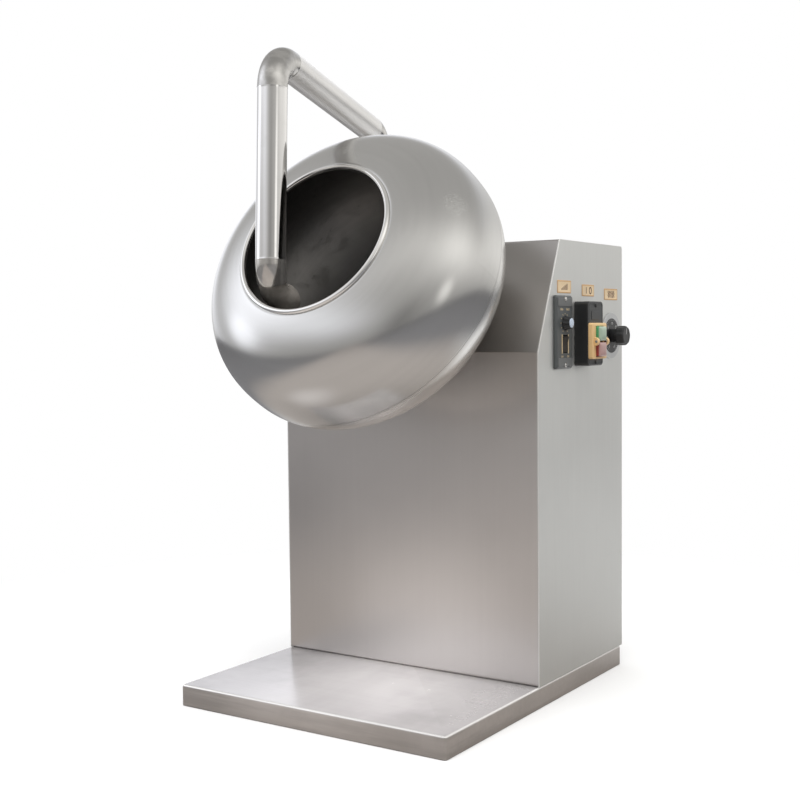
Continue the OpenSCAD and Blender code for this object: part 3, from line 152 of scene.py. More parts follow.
# Studio: a pale floor and a soft, uneven room. The room is plain overhead and has soft bright
# windows on all sides, the strongest at the left and the right, which the steel mirrors.
world = bpy.data.worlds.new("studio")
bpy.context.scene.world = world
world.use_nodes = True
world.node_tree.nodes.clear()
start = Value(world.node_tree, None)
direction = start.node("ShaderNodeTexCoord")
rise = direction.part(2)


def window(azimuth, elevation, width, height, lean, strength, crisp=1):
    """A bright patch of the room, by its direction, half widths and lean in degrees."""
    az, el, tip = math.radians(azimuth), math.radians(elevation), math.radians(lean)
    aim = Vector((math.sin(az) * math.cos(el), -math.cos(az) * math.cos(el), math.sin(el)))
    level = Vector((math.cos(az), math.sin(az), 0))
    steep = level.cross(-aim)
    side = level * math.cos(tip) + steep * math.sin(tip)
    top = steep * math.cos(tip) - level * math.sin(tip)
    far = 0.0
    for axis, half in ((side, width), (top, height)):
        dot = direction.vector("DOT_PRODUCT", axis, 1)
        far = (dot / math.sin(math.radians(half))).power(2.0) + far
    facing = direction.vector("DOT_PRODUCT", aim, 1)
    return (-far.power(crisp)).exp() * facing.smooth(0.0, 0.3) * strength


warm = rise.smooth(-0.1, 1.0, 0.43, 0.51)
for place in ((88, 35, 37, 18, -22, 0.74), (166, 9, 46, 13, -12, 0.62), (15, 53, 29, 12, 9, 0.28),
              (76, 8, 9, 8, 0, 0.75, 2), (33, 4, 16, 14, 0, -0.18)):
    warm = warm + window(*place)
cool = 0.0
for place in ((-132, 14, 40, 9, -26, 0.86), (-65, 27, 25, 19, 25, 1.20), (-21, 20, 26, 10, -12, 0.60),
              (-67, 8, 12, 8, 0, 0.8, 2)):
    cool = window(*place) + cool
glow = warm + cool
tone = (cool / glow).mix((1.0, 0.985, 0.96, 1), (0.96, 0.99, 1.09, 1))
rays = start.node("ShaderNodeLightPath").socket.node.outputs
camera_ray = Value(world.node_tree, rays["Is Camera Ray"])
through_ray = Value(world.node_tree, rays["Is Transmission Ray"])
seen = camera_ray.math("MAXIMUM", camera_ray, through_ray)
room = start.node("ShaderNodeBackground", None, {"Color": tone, "Strength": glow})
white = start.node("ShaderNodeBackground", None, {"Color": (1, 1, 1, 1), "Strength": 1.0})
both = start.node("ShaderNodeMixShader", None, {0: seen, 1: room, 2: white})
start.node("ShaderNodeOutputWorld", None, {"Surface": both})

lamp = bpy.data.lights.new("overhead", "AREA")
lamp.shape = "DISK"
lamp.size = 5.0
lamp.energy = 190
overhead = bpy.data.objects.new("overhead", lamp)
overhead.location = (0.4, -0.8, 4.2)
overhead.rotation_euler = (0.12, 0.08, 0)
overhead.visible_glossy = False
bpy.context.scene.collection.objects.link(overhead)

# The camera sees a pale floor that fades to white. The steel mirrors a darker, uneven one: painted shade at
# its sides, painted paler behind, and a painted pool of light in front.
floor_mesh = bpy.data.meshes.new("floor")
floor_r, floor_points = 9, 96
ring = [(floor_r * math.cos(i * math.tau / floor_points), floor_r * math.sin(i * math.tau / floor_points), 0)
        for i in range(floor_points)]
floor_mesh.from_pydata(ring, [], [list(range(floor_points))])
floor = bpy.data.objects.new("floor", floor_mesh)
bpy.context.scene.collection.objects.link(floor)
pale = bpy.data.materials.new("pale_floor")
pale.use_nodes = True
tree = pale.node_tree
shader = tree.nodes["Principled BSDF"]
shader.inputs["Roughness"].default_value = 0.9
shader.inputs["Specular IOR Level"].default_value = 0.1
start = Value(tree, None)
place = start.node("ShaderNodeTexCoord", None, None, 3)
reach = place.length()
camera_ray = Value(tree, start.node("ShaderNodeLightPath").socket.node.outputs["Is Camera Ray"])
# What the steel mirrors: painted shade at both sides, a paler painted back and a painted pool of light in
# front.
sides = place.part(0).magnitude().smooth(0.5, 1.1)
behind = place.part(1).smooth(0.1, 0.7)
spot = place.away_from((-0.20, -0.43, 0))
mirrored = behind.mix((0.42, 0.39, 0.37, 1), (0.85, 0.85, 0.85, 1))
mirrored = sides.mix(mirrored, (0.20, 0.20, 0.21, 1))
mirrored = spot.smooth(0.26, 0.02).mix(mirrored, (0.60, 0.57, 0.56, 1))
tree.links.new(camera_ray.mix(mirrored, (0.92, 0.92, 0.92, 1)).socket, shader.inputs["Base Color"])
sheet_white = start.node("ShaderNodeEmission", None, {"Color": (1, 1, 1, 1), "Strength": 1.0})
fade = camera_ray * reach.smooth(0.5, 1.1)
shown = start.node("ShaderNodeMixShader", None, {0: fade, 1: Value(tree, shader.outputs[0]), 2: sheet_white})
tree.links.new(shown.socket, tree.nodes["Material Output"].inputs["Surface"])
floor_mesh.materials.append(pale)


# Steel, in several finishes. Each has a slow cloudiness, fine grain along one direction and
# a few scratches, which change its roughness and its surface.
def steel(name, tint, rough, grain=(1, 1, 1), vary=0.06, lines=0.10, depth=0.00002, uv=False,
          cloud=0.05, scratch=0.05, metal=1.0, detail=None):
    made = bpy.data.materials.new(name)
    made.use_nodes = True
    tree = made.node_tree
    shader = tree.nodes["Principled BSDF"]
    shader.inputs["Metallic"].default_value = metal
    start = Value(tree, None)
    solid = start.node("ShaderNodeTexCoord", None, None, 3)
    along = start.node("ShaderNodeTexCoord", None, None, 2) if uv else solid
    slow = solid.noise(7.0, 3.0, 0.55)
    fine = along.stretch(*grain).noise(900.0, 3.0, 0.6)
    broad = along.stretch(*grain).noise(160.0, 4.0, 0.6)
    scrape = along.stretch(*grain).noise(60.0, 6.0, 0.75, 0.4).smooth(0.66, 0.80)
    hue = slow.smooth(0.25, 0.75).mix([c * (1 - cloud) for c in tint] + [1],
                                      [c * (1 + cloud) for c in tint] + [1])
    shade = broad.smooth(0.2, 0.8, 1.0 - lines, 1.0)
    worn = rough + (slow - 0.5) * vary + (broad - 0.5) * vary + scrape * scratch
    height = fine * 0.5 + broad * 0.5
    if detail:
        more_shade, more_worn, more_height = detail(solid, along)
        shade, worn, height = shade * more_shade, worn + more_worn, height + more_height
    grey = start.node("ShaderNodeCombineXYZ", None, {0: shade, 1: shade, 2: shade})
    tree.links.new(hue.vector("MULTIPLY", grey).socket, shader.inputs["Base Color"])
    tree.links.new(worn.socket, shader.inputs["Roughness"])
    bump = start.node("ShaderNodeBump", None, {"Height": height, "Distance": depth, "Strength": 0.6})
    tree.links.new(bump.socket, shader.inputs["Normal"])
    return made


# Painted, moulded and cast surfaces: a fine grain, a little uneven in colour and gloss.
def coated(name, tint, rough, grain=1500.0, depth=0.00002, vary=0.08, cloud=0.08, metal=0.0, coat=0.0):
    made = bpy.data.materials.new(name)
    made.use_nodes = True
    tree = made.node_tree
    shader = tree.nodes["Principled BSDF"]
    shader.inputs["Metallic"].default_value = metal
    shader.inputs["Coat Weight"].default_value = coat
    start = Value(tree, None)
    solid = start.node("ShaderNodeTexCoord", None, None, 3)
    slow = solid.noise(25.0, 3.0, 0.6)
    fine = solid.noise(grain, 2.0, 0.5)
    hue = slow.smooth(0.25, 0.75).mix([c * (1 - cloud) for c in tint] + [1],
                                      [min(1, c * (1 + cloud)) for c in tint] + [1])
    tree.links.new(hue.socket, shader.inputs["Base Color"])
    worn = rough + (slow - 0.5) * vary + (fine - 0.5) * 0.08
    tree.links.new(worn.socket, shader.inputs["Roughness"])
    bump = start.node("ShaderNodeBump", None, {"Height": fine, "Distance": depth, "Strength": 0.5})
    tree.links.new(bump.socket, shader.inputs["Normal"])
    return made


def dress(material, *names):
    """Gives CAD nodes their material."""
    for name in names:
        data = nodes[name].data
        data.materials.clear()
        data.materials.append(material)


def piece(name, verts, faces, body, materials, uvs=None, picks=None, sharp=None):
    """A new mesh piece that rides on a body."""
    mesh = bpy.data.meshes.new(name)
    mesh.from_pydata([Vector(v) for v in verts], [], faces)
    for material in materials:
        mesh.materials.append(material)
    if picks:
        mesh.polygons.foreach_set("material_index", picks)
    if uvs:
        layer = mesh.uv_layers.new(name="around")
        for loop in mesh.loops:
            layer.data[loop.index].uv = uvs[loop.vertex_index]
    mesh.polygons.foreach_set("use_smooth", [True] * len(mesh.polygons))
    if sharp:
        mesh.set_sharp_from_angle(angle=math.radians(sharp))
    mesh.update()
    made = bpy.data.objects.new(name, mesh)
    bpy.context.scene.collection.objects.link(made)
    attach(made, body)
    return made


# The pan: two spun stainless halves welded at the widest line, satin polished outside,
# dark and unpolished inside, with the mouth's edge rolled into a bright bead.
tilt = math.radians(29.3)
pan_middle = Vector((0, -118, 549)) * MM
pan_across = Vector((0, math.sin(tilt), math.cos(tilt)))
pan_axis = Vector((0, -math.cos(tilt), math.sin(tilt)))


def on_axis(x, p, s):
    """A point by its place across and along the pan's axis, in millimetres."""
    return pan_middle + Vector((x * MM, 0, 0)) + pan_across * (p * MM) + pan_axis * (s * MM)


def pan_line(radius, length, power, angle):
    """A point (radius, height) on a quarter of a superellipse."""
    return radius * math.cos(angle) ** (2 / power), length * math.sin(angle) ** (2 / power)


# Sizes in millimetres: radius and half length, radius and place of the hub's seat, mouth, bead
# and sheet.
pan_r, pan_half, seat_r, seat_s, mouth_r, bead_r, sheet = 200, 117, 47, 113.7, 103.5, 3.5, 1.5
front_power, rear_power = 2.7, 2
rear_steps, front_steps, bead_steps, inside_steps, pan_sides = 44, 52, 26, 40, 256
# Where the bead starts, from the direction of the line that runs into it, and its sweep, in radians.
bead_lead, bead_sweep = 1.35, 5.1
flat_angle = math.acos(seat_r / pan_r)
mouth_angle = math.acos((mouth_r / pan_r) ** (front_power / 2))
outline = [(0.0, pan_line(pan_r, -pan_half, rear_power, flat_angle)[1])]
outline += [pan_line(pan_r, -pan_half, rear_power, flat_angle * (1 - i / rear_steps))
            for i in range(rear_steps)]
outline += [pan_line(pan_r, pan_half, front_power, mouth_angle * i / front_steps)
            for i in range(front_steps + 1)]
bead_s = outline[-1][1] - sheet / 2
slope_in = math.atan2(outline[-1][1] - outline[-2][1], outline[-1][0] - outline[-2][0])
bead_from = slope_in + bead_lead
bead_angles = [bead_from - i * bead_sweep / bead_steps for i in range(bead_steps + 1)]
bead = [(mouth_r + bead_r * math.cos(angle), bead_s + bead_r * math.sin(angle)) for angle in bead_angles]
inner_r, inner_half = pan_r - sheet, pan_half - sheet
inner_end = math.acos((mouth_r / inner_r) ** (front_power / 2))
inner = [pan_line(inner_r, inner_half, front_power, inner_end * (1 - i / front_steps))
         for i in range(front_steps + 1)]
inner_flat = math.asin((seat_s - sheet) / inner_half)
inner += [pan_line(inner_r, -inner_half, rear_power, inner_flat * i / inside_steps)
          for i in range(1, inside_steps + 1)]
inner += [(0.0, inner[-1][1])]
profile = outline[:-1] + bead + inner[1:]
outer_count = len(outline) - 1
bead_count = len(bead)


def run_lengths(profile):
    """Distance along a profile at each of its points."""
    lengths = [0.0]
    for before, after in zip(profile, profile[1:]):
        lengths.append(lengths[-1] + math.dist(before, after))
    return lengths


def revolve(profile, count, spot):
    """Vertices, quads and uvs of a profile of (radius, height) turned once round."""
    verts, uvs, faces = [], [], []
    for (radius, height), run in zip(profile, run_lengths(profile)):
        for i in range(count + 1):
            angle = math.tau * i / count
            verts.append(spot(radius * math.cos(angle), radius * math.sin(angle), height))
            uvs.append((angle * pan_r * MM, run * MM))
    for k in range(len(profile) - 1):
        for i in range(count):
            a = k * (count + 1) + i
            faces.append((a, a + 1, a + count + 2, a + count + 1))
    return verts, faces, uvs


widest = run_lengths(profile)[rear_steps] * MM


def pan_marks(solid, around):
    """The welded line at the widest place, the duller rear half, and two scuffed patches."""
    off = around.part(1) - widest
    rear = off.smooth(-0.001, -0.004)
    seam = off.magnitude().smooth(0.0009, 0.0003)
    rings = around.stretch(0.02, 1, 1).noise(55.0, 2.0, 0.5).smooth(0.35, 0.65)
    scuff = 0.0
    for spot, size in (((-0.005, -0.138, 0.717), 0.016), ((0.166, -0.153, 0.636), 0.022)):
        away = solid.away_from(spot)
        thin = solid.stretch(1, 1, 2.5).noise(330.0, 2.0, 0.6, 1.2)
        thin = (thin - 0.5).magnitude().smooth(0.018, 0.004)
        scuff = away.smooth(size, size * 0.4) * thin + scuff
    shade = 1.0 + rear * 0.2 - seam * 0.22 + scuff * 0.5 + rings * 0.015
    return shade, rear * 0.07 + seam * 0.1 + scuff * 0.2, scuff * 0.5 - seam * 2.0


def pan_stains(solid, around):
    """Old sugar inside the pan: dull patches on the dark, ringed steel, and a painted highlight along a paler
    band.
    """
    patch = solid.noise(22.0, 5.0, 0.7, 0.5).smooth(0.52, 0.66)
    spots = solid.noise(90.0, 3.0, 0.6, 0.3).smooth(0.60, 0.68)
    rings = around.stretch(0.02, 1, 1).noise(140.0, 3.0, 0.6)
    # A painted highlight: the inside is paler along a band round a line across it.
    highlight_from, highlight_along = (-0.115, -0.018, 0.620), (0.619, 0.281, 0.733)
    across = solid.vector("SUBTRACT", highlight_from).vector("CROSS_PRODUCT", highlight_along).length()
    path = (across * across * -450.0).exp()
    return 1.0 + rings * 0.08 - spots * patch * 0.45 + path * 1.35, patch * 0.10 + spots * 0.08, rings * 0.6


pan_satin = steel("pan_satin", (0.615, 0.61, 0.595), 0.20, grain=(0.05, 1, 1), uv=True, lines=0.03, vary=0.05,
                  depth=0.000004, cloud=0.02, scratch=0.03, detail=pan_marks)
pan_dark = steel("pan_dark", (0.20, 0.193, 0.185), 0.40, grain=(0.05, 1, 1), uv=True, lines=0.1,
                 depth=0.000006, cloud=0.2, metal=0.75, detail=pan_stains)
bright_bead = steel("bright_bead", (0.86, 0.85, 0.83), 0.06, grain=(0.1, 1, 1), uv=True, lines=0.05,
                    depth=0.000003)
verts, faces, uvs = revolve(profile, pan_sides, on_axis)
picks = []
for k in range(len(profile) - 1):
    kind = 0 if k < outer_count else 1 if k < outer_count + bead_count - 1 else 2
    picks += [kind] * pan_sides
pan_shell = piece("pan_shell", verts, faces, "pan", [pan_satin, bright_bead, pan_dark],
                  uvs, picks)
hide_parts("pan_front", "pan_rear")


# The air pipe: polished stainless tube with dull elbows, joined by dressed weld rings.
# The riser slides in its sleeve, and the nozzle turns in the knee's socket.
def walk(start, legs):
    """Points, turns, distances and marks along straight legs and bends, in millimetres."""
    at, turn = start
    rows = []
    travelled = 0.0
    for kind, size, radius, mark in legs:
        if kind == "roll":
            turn = turn @ Matrix.Rotation(math.radians(size), 3, "Z")
            continue
        if kind == "straight":
            close = [c for c in (0, 0.6, 1.2, 1.8, 2.6, 4, 7, 12) if c < size / 2]
            middle = [size * i / 20 for i in range(21) if 12.5 < size * i / 20 < size - 12.5]
            for place in close + middle + [size - c for c in reversed(close)]:
                rows.append((at + turn @ Vector((0, 0, place)), turn.copy(), travelled + place, mark))
            travelled += size
        else:
            count = math.ceil(size / 3)
            for i in range(count + 1):
                angle = math.radians(size) * i / count
                moved = at + turn @ Vector((radius * (1 - math.cos(angle)), 0, radius * math.sin(angle)))
                rows.append((moved, turn @ Matrix.Rotation(angle, 3, "Y"), travelled + radius * angle, mark))
            travelled += radius * math.radians(size)
        at, turn = rows[-1][0].copy(), rows[-1][1].copy()
    return rows, (at, turn)


def tube(rows, radius_at, inner_r, sides=72):
    """A closed tube round the rows of a walk, with its own radius at each distance."""
    verts, uvs, faces, marks = [], [], [], []
    both = [(row, radius_at(row[2], row[3])) for row in rows] + [(row, inner_r) for row in reversed(rows)]
    both.append(both[0])
    for (at, turn, run, mark), radius in both:
        for i in range(sides + 1):
            angle = math.tau * i / sides
            verts.append((at + turn @ Vector((radius * math.cos(angle), radius * math.sin(angle), 0))) * MM)
            uvs.append((angle * pipe_r * MM, run * MM))
    for k in range(len(both) - 1):
        for i in range(sides):
            a = k * (sides + 1) + i
            faces.append((a, a + 1, a + sides + 2, a + sides + 1))
            marks.append(both[k + 1][0][3] if k < len(rows) else both[k][0][3])
    return verts, faces, uvs, marks


# Sizes in millimetres and bends in degrees; run, drop and top are measured to the corners.
riser_x, riser_y, riser_low, pipe_top = -148, 146, 429.05, 783
run_length, drop_length, socket_deep = 373, 264, 9
elbow_r, rear_bend, front_bend, knee_bend, run_swing, knee_roll = 40, 82.6, 94, 26, 14, -10
pipe_r, pipe_bore, nozzle_r, nozzle_bore = 19.0, 17.5, 17.45, 15.95
POLISHED, ELBOW, BRUSHED, KNEE = 0, 1, 2, 3


def corner_cut(angle):
    """How much an elbow takes from the straight legs on each side of its corner."""
    return elbow_r * math.tan(math.radians(angle) / 2)


rear_cut, front_cut, knee_cut = corner_cut(rear_bend), corner_cut(front_bend), corner_cut(knee_bend)
foot = (Vector((riser_x, riser_y, riser_low)), Matrix.Rotation(math.radians(run_swing - 90), 3, "Z"))
legs = [("straight", pipe_top - rear_cut - riser_low, 0, BRUSHED), ("bend", rear_bend, elbow_r, ELBOW),
        ("straight", run_length - rear_cut - front_cut, 0, BRUSHED), ("bend", front_bend, elbow_r, ELBOW),
        ("straight", drop_length - front_cut - knee_cut, 0, POLISHED), ("roll", knee_roll, 0, POLISHED),
        ("bend", knee_bend, elbow_r, KNEE), ("straight", socket_deep, 0, KNEE)]
rows, pipe_end = walk(foot, legs)
joints_at = [after[2] for before, after in zip(rows, rows[1:]) if before[3] != after[3]]


def pipe_radius(run, mark):
    """The outer radius, with a dressed weld ring at each joint and slightly stouter elbows."""
    ridge = sum(math.exp(-((run - j) / 1.1) ** 2) for j in joints_at)
    return pipe_r + 0.16 * min(1.0, ridge) + (0.08 if mark in (ELBOW, KNEE) else 0.0)


def tube_marks(solid, around):
    """Smudges and fine draw lines along the tube."""
    smudge = solid.noise(30.0, 4.0, 0.6).smooth(0.5, 0.7)
    draw = around.stretch(1, 0.01, 1).noise(500.0, 2.0, 0.5)
    return 1.0 - smudge * 0.04 - draw * 0.05, smudge * 0.06, draw * 0.5


def elbow_marks(solid, around):
    """Heat tint and hammered dullness of a bent, welded elbow."""
    blotch = solid.noise(60.0, 4.0, 0.65, 0.4)
    dent = solid.noise(45.0, 2.0, 0.5)
    return 0.84 + blotch.smooth(0.35, 0.65) * 0.22, (blotch - 0.5) * 0.16, dent


pipe_polish = steel("pipe_polish", (0.80, 0.79, 0.775), 0.08, grain=(1, 0.03, 1), uv=True, lines=0.05,
                    depth=0.000003, scratch=0.08, detail=tube_marks)
pipe_brush = steel("pipe_brush", (0.84, 0.83, 0.81), 0.34, grain=(1, 0.02, 1), uv=True, lines=0.03,
                   depth=0.0000003, scratch=0.02, metal=0.55)
elbow_dull = steel("elbow_dull", (0.55, 0.54, 0.52), 0.14, grain=(0.5, 0.5, 1), uv=True, lines=0.06,
                   depth=0.00002, cloud=0.06, scratch=0.06, detail=elbow_marks)
knee_dull = steel("knee_dull", (0.68, 0.655, 0.62), 0.15, grain=(0.5, 0.5, 1), uv=True, lines=0.08,
                  depth=0.00002, cloud=0.08, scratch=0.10, metal=0.8, detail=elbow_marks)
verts, faces, uvs, marks = tube(rows, pipe_radius, pipe_bore)
air_pipe = piece("air_pipe_tube", verts, faces, "air_pipe",
                 [pipe_polish, elbow_dull, pipe_brush, knee_dull], uvs, marks, 50)
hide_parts("riser_tube", "rear_elbow", "run_tube", "front_elbow", "drop_tube", "knee_elbow",
            "nozzle_socket")

# The nozzle: its turn in the knee's socket, its straight leg, its bend and the bend's radius.
nozzle_roll, nozzle_length, nozzle_bend, nozzle_bend_r = 31, 11.5, 90, 28
nozzle_start = (pipe_end[0] - pipe_end[1] @ Vector((0, 0, socket_deep)), pipe_end[1])
nozzle_rows, _ = walk(nozzle_start, [("roll", nozzle_roll, 0, 0), ("straight", nozzle_length, 0, 0),
                                     ("bend", nozzle_bend, nozzle_bend_r, 0)])
verts, faces, uvs, marks = tube(nozzle_rows, lambda run, mark: nozzle_r, nozzle_bore)
elbow_brown = steel("elbow_brown", (0.62, 0.575, 0.52), 0.20, grain=(0.5, 0.5, 1), uv=True, lines=0.12,
                    depth=0.00003, cloud=0.25, scratch=0.12, metal=0.5, detail=elbow_marks)
nozzle_tip = piece("nozzle_tip", verts, faces, "nozzle_end", [elbow_brown], uvs, None, 50)
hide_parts("nozzle")


# The base: one stainless sheet folded down on four sides with welded, rounded corners and a
# lip turned in underneath, brushed lengthwise.
corner_points = 7
ring_points = 4 * corner_points


def rounded(half_w, half_h, corner, middle=(0, 0)):
    """Points round a rectangle with rounded corners."""
    points = []
    for side_x, side_y, first in ((1, 1, 0), (-1, 1, 90), (-1, -1, 180), (1, -1, 270)):
        for i in range(corner_points):
            angle = math.radians(first + 90 * i / (corner_points - 1))
            points.append((middle[0] + side_x * (half_w - corner) + corner * math.cos(angle),
                           middle[1] + side_y * (half_h - corner) + corner * math.sin(angle)))
    return points


def stack(rings):
    """Vertices and faces through rings with equal counts of points, capped at both ends."""
    count = len(rings[0])
    verts = [point for ring in rings for point in ring]
    faces = [tuple(reversed(range(count)))]
    for k in range(len(rings) - 1):
        a, b = k * count, (k + 1) * count
        faces += [(a + i, a + (i + 1) % count, b + (i + 1) % count, b + i) for i in range(count)]
    faces.append(tuple(range((len(rings) - 1) * count, len(rings) * count)))
    return verts, faces


def picked(faces, bands):
    """Material numbers of a capped stack of rounded rings: 0 for its first bands, then 1."""
    return [1 if k > ring_points * bands else 0 for k in range(len(faces))]


def flat_ring(half_w, half_h, corner, z):
    return [Vector((x, y, z)) * MM for x, y in rounded(half_w, half_h, corner)]


base_x, base_y, base_top_z, base_wall, base_corner, fold_r, lip = 203, 244, 28, 2, 4, 3, 16
fold_steps = 6
fold_angles = [math.radians(90 * i / fold_steps) for i in range(fold_steps + 1)]
fold = [(fold_r - fold_r * math.cos(angle), base_top_z - fold_r + fold_r * math.sin(angle))
        for angle in fold_angles]
rings = [flat_ring(base_x - base_wall, base_y - base_wall, base_corner - base_wall, base_top_z - base_wall),
         flat_ring(base_x - base_wall, base_y - base_wall, base_corner - base_wall, base_wall),
         flat_ring(base_x - lip, base_y - lip, 1, base_wall), flat_ring(base_x - lip, base_y - lip, 1, 0),
         flat_ring(base_x - 1, base_y - 1, base_corner - 1, 0), flat_ring(base_x, base_y, base_corner, 1)]
rings += [flat_ring(base_x - inset, base_y - inset, base_corner - inset, z) for inset, z in fold]
verts, faces = stack(rings)


def top_wear(solid, around):
    """Wipe marks on the top and streaks along the sides, with a painted pool of light on the top and painted
    shade towards the left and right ends.
    """
    wipe = solid.stretch(1.0, 0.35, 1).noise(9.0, 4.0, 0.6, 0.8)
    streak = solid.stretch(0.15, 0.15, 2).noise(45.0, 4.0, 0.6)
    # Painted light: a lighter patch on the top near its front, and painted shade towards both ends of the
    # sheet.
    away = solid.away_from((0.02, -0.08, 0.028))
    edges = solid.part(0).smooth(-0.04, -0.18) * 0.22 + solid.part(0).smooth(0.06, 0.2) * 0.15
    bright = away.smooth(0.20, 0.02) * 0.40 - edges
    worn = 0.93 + wipe.smooth(0.3, 0.7) * 0.10 - streak.smooth(0.45, 0.65) * 0.12
    return worn + bright, (wipe - 0.5) * 0.14, streak * 0.5


base_brush = steel("base_brush", (0.62, 0.59, 0.565), 0.34, grain=(0.02, 1, 1), lines=0.08, depth=0.00001,
                   cloud=0.04, metal=0.95, detail=top_wear)
base_top_painted_lighter = steel("base_top_painted_lighter", (0.72, 0.695, 0.695), 0.24, grain=(0.02, 1, 1), lines=0.03, depth=0.0000001,
                 cloud=0.03, scratch=0.0, metal=0.5, detail=top_wear)
fold_highlight = steel("fold_highlight", (0.93, 0.92, 0.90), 0.25, grain=(0.02, 1, 1), lines=0.04, depth=0.00001,
                  metal=0.5)
# The flat top and the fold's last band are smoother and painted lighter than the sides, and the three bands
# before them carry a painted highlight along the fold.
top_from, fold_highlight_from = 11 * ring_points, 8 * ring_points
picks = [1 if k > top_from else 2 if k > fold_highlight_from else 0 for k in range(len(faces))]
base_sheet = piece("base_sheet", verts, faces, "machine", [base_brush, base_top_painted_lighter, fold_highlight],
                   picks=picks, sharp=40)
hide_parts("base_tray")


# The cabinet: a bent front and top sheet, brushed upright, between two matt side sheets. The
# joints at the side edges are welded and dressed to a bright line.
def front_waves(solid, around):
    """The thin sheet is not quite flat, and its colour carries painted shade and a painted highlight."""
    swell = solid.stretch(1, 1, 0.6).noise(5.0, 1.0, 0.4)
    # Painted shade under the pan at the top of the front and on the slope, darker towards the lower left, and
    # a painted highlight low in the middle of the front.
    high, slope_shade = solid.part(2).smooth(0.34, 0.46), solid.part(1).smooth(-0.013, -0.008)
    corner = solid.part(0).smooth(-0.04, -0.2) * solid.part(2).smooth(0.34, 0.22)
    corner = corner * solid.part(2).smooth(0.02, 0.10)
    away = solid.away_from((0.03, -0.014, 0.11))
    low = away.smooth(0.17, 0.02) * 0.20
    return 1.05 + low - high * 0.30 - slope_shade * 0.02 - corner * 0.13, (swell - 0.5) * 0.06, swell * 60.0


def side_fade(solid, around):
    """The side sheets are darker and a little rougher towards the bottom."""
    low = solid.part(2).smooth(0.30, 0.08)
    return 1.30 - low * 0.28, low * 0.03, 0.0


front_brush = steel("front_brush", (0.58, 0.555, 0.535), 0.30, grain=(1, 1, 0.02), lines=0.015,
                    depth=0.000004, vary=0.02, cloud=0.02, scratch=0.02, metal=0.96, detail=front_waves)
side_satin = steel("side_satin", (0.56, 0.565, 0.55), 0.46, grain=(1, 1, 0.05), lines=0.03, depth=0.00001,
                   cloud=0.02, metal=0.8, detail=side_fade)
weld_bright = steel("weld_bright", (0.86, 0.85, 0.83), 0.30, lines=0.05, metal=0.6)
dress(front_brush, "cabinet_wrap")
dress(side_satin, "side_panel_left", "side_panel_right", "back_panel")
face_x = 203
cabinet_edge = [((-14, 28.2), (-1, 0), 0.55), ((-14, 457.5), (-1, 0), 0.55),
                ((-13.6, 459.4), (-0.98, 0.2), 0.8), ((48.2, 603.6), (-0.92, 0.39), 0.8),
                ((49.6, 605), (-0.5, 0.87), 0.6), ((51.5, 605), (0, 1), 0.3), ((246, 605), (0, 1), 0.3)]
for side, name in ((1, "weld_right"), (-1, "weld_left")):
    rings = []
    for (y, z), (out_y, out_z), wide in cabinet_edge:
        heart = Vector((side * (face_x - 0.6 * wide), y - 0.6 * wide * out_y, z - 0.6 * wide * out_z))
        ring = []
        for i in range(10):
            angle = math.radians(36 * i)
            ring.append((heart + Vector((side * wide * math.cos(angle), out_y * wide * math.sin(angle),
                                         out_z * wide * math.sin(angle)))) * MM)
        rings.append(ring)
    verts, faces = stack(rings)
    piece(name, verts, faces, "machine", [weld_bright], sharp=60)


# The collar round the riser: turned stainless, held by three screws through its flange on the
# cabinet's top. It is the CAD's own shape.
collar_steel = steel("collar_steel", (0.64, 0.63, 0.61), 0.24, grain=(1, 1, 6), lines=0.08, depth=0.00001)
dress(collar_steel, "pipe_collar")

# Controls on the right side: moulded plastic and sheet, screwed or pressed into cut-outs of the
# panel. Their points are given across (towards the rear), up and out of the panel's face.
def on_panel(across, upward):
    """Makes a function that puts a point at (across, up, out) from a control's middle."""
    return lambda x, y, out: Vector((face_x + out, across + x, upward + y)) * MM


def panel_stack(spot, rows):
    """Rings on the panel from rows of half width, half height, corner, out and middle."""
    rings = []
    for half_w, half_h, corner, out, *middle in rows:
        ring = rounded(half_w, half_h, corner, middle[0] if middle else (0, 0))
        rings.append([spot(x, y, out) for x, y in ring])
    return stack(rings)


black = coated("black_plastic", (0.020, 0.021, 0.022), 0.36)
unit_dark = coated("unit_plastic", (0.088, 0.096, 0.098), 0.42)
unit_pad = coated("unit_pad", (0.145, 0.15, 0.15), 0.5)
box_face = coated("box_face", (0.045, 0.048, 0.050), 0.45)
cream = coated("cream_plastic", (0.78, 0.62, 0.38), 0.45)
orange = coated("orange_plastic", (0.84, 0.565, 0.27), 0.38)
label_cream = coated("label_cream", (0.90, 0.70, 0.45), 0.5, cloud=0.04)
label_edge = coated("label_edge", (0.68, 0.42, 0.20), 0.5)
label_mark = coated("label_mark", (0.13, 0.055, 0.035), 0.5)
screw_bright = steel("screw_bright", (0.74, 0.74, 0.72), 0.25, lines=0.1)


def strokes(spot, paths, half, low, high):
    """Thin raised lines along paths of (across, up), a closed prism each."""
    verts, faces = [], []
    for path in paths:
        base, count = len(verts), len(path)
        for i, (x, y) in enumerate(path):
            (x0, y0), (x1, y1) = path[max(i - 1, 0)], path[min(i + 1, count - 1)]
            size = math.hypot(x1 - x0, y1 - y0) / half
            aside, above = (y0 - y1) / size, (x1 - x0) / size
            verts += [spot(x + aside, y + above, low), spot(x - aside, y - above, low),
                      spot(x - aside, y - above, high), spot(x + aside, y + above, high)]
        for i in range(count - 1):
            a = base + 4 * i
            faces += [(a + j, a + 4 + j, a + 4 + (j + 1) % 4, a + (j + 1) % 4) for j in range(4)]
        a = base + 4 * (count - 1)
        faces += [(base, base + 1, base + 2, base + 3), (a + 3, a + 2, a + 1, a)]
    return verts, faces


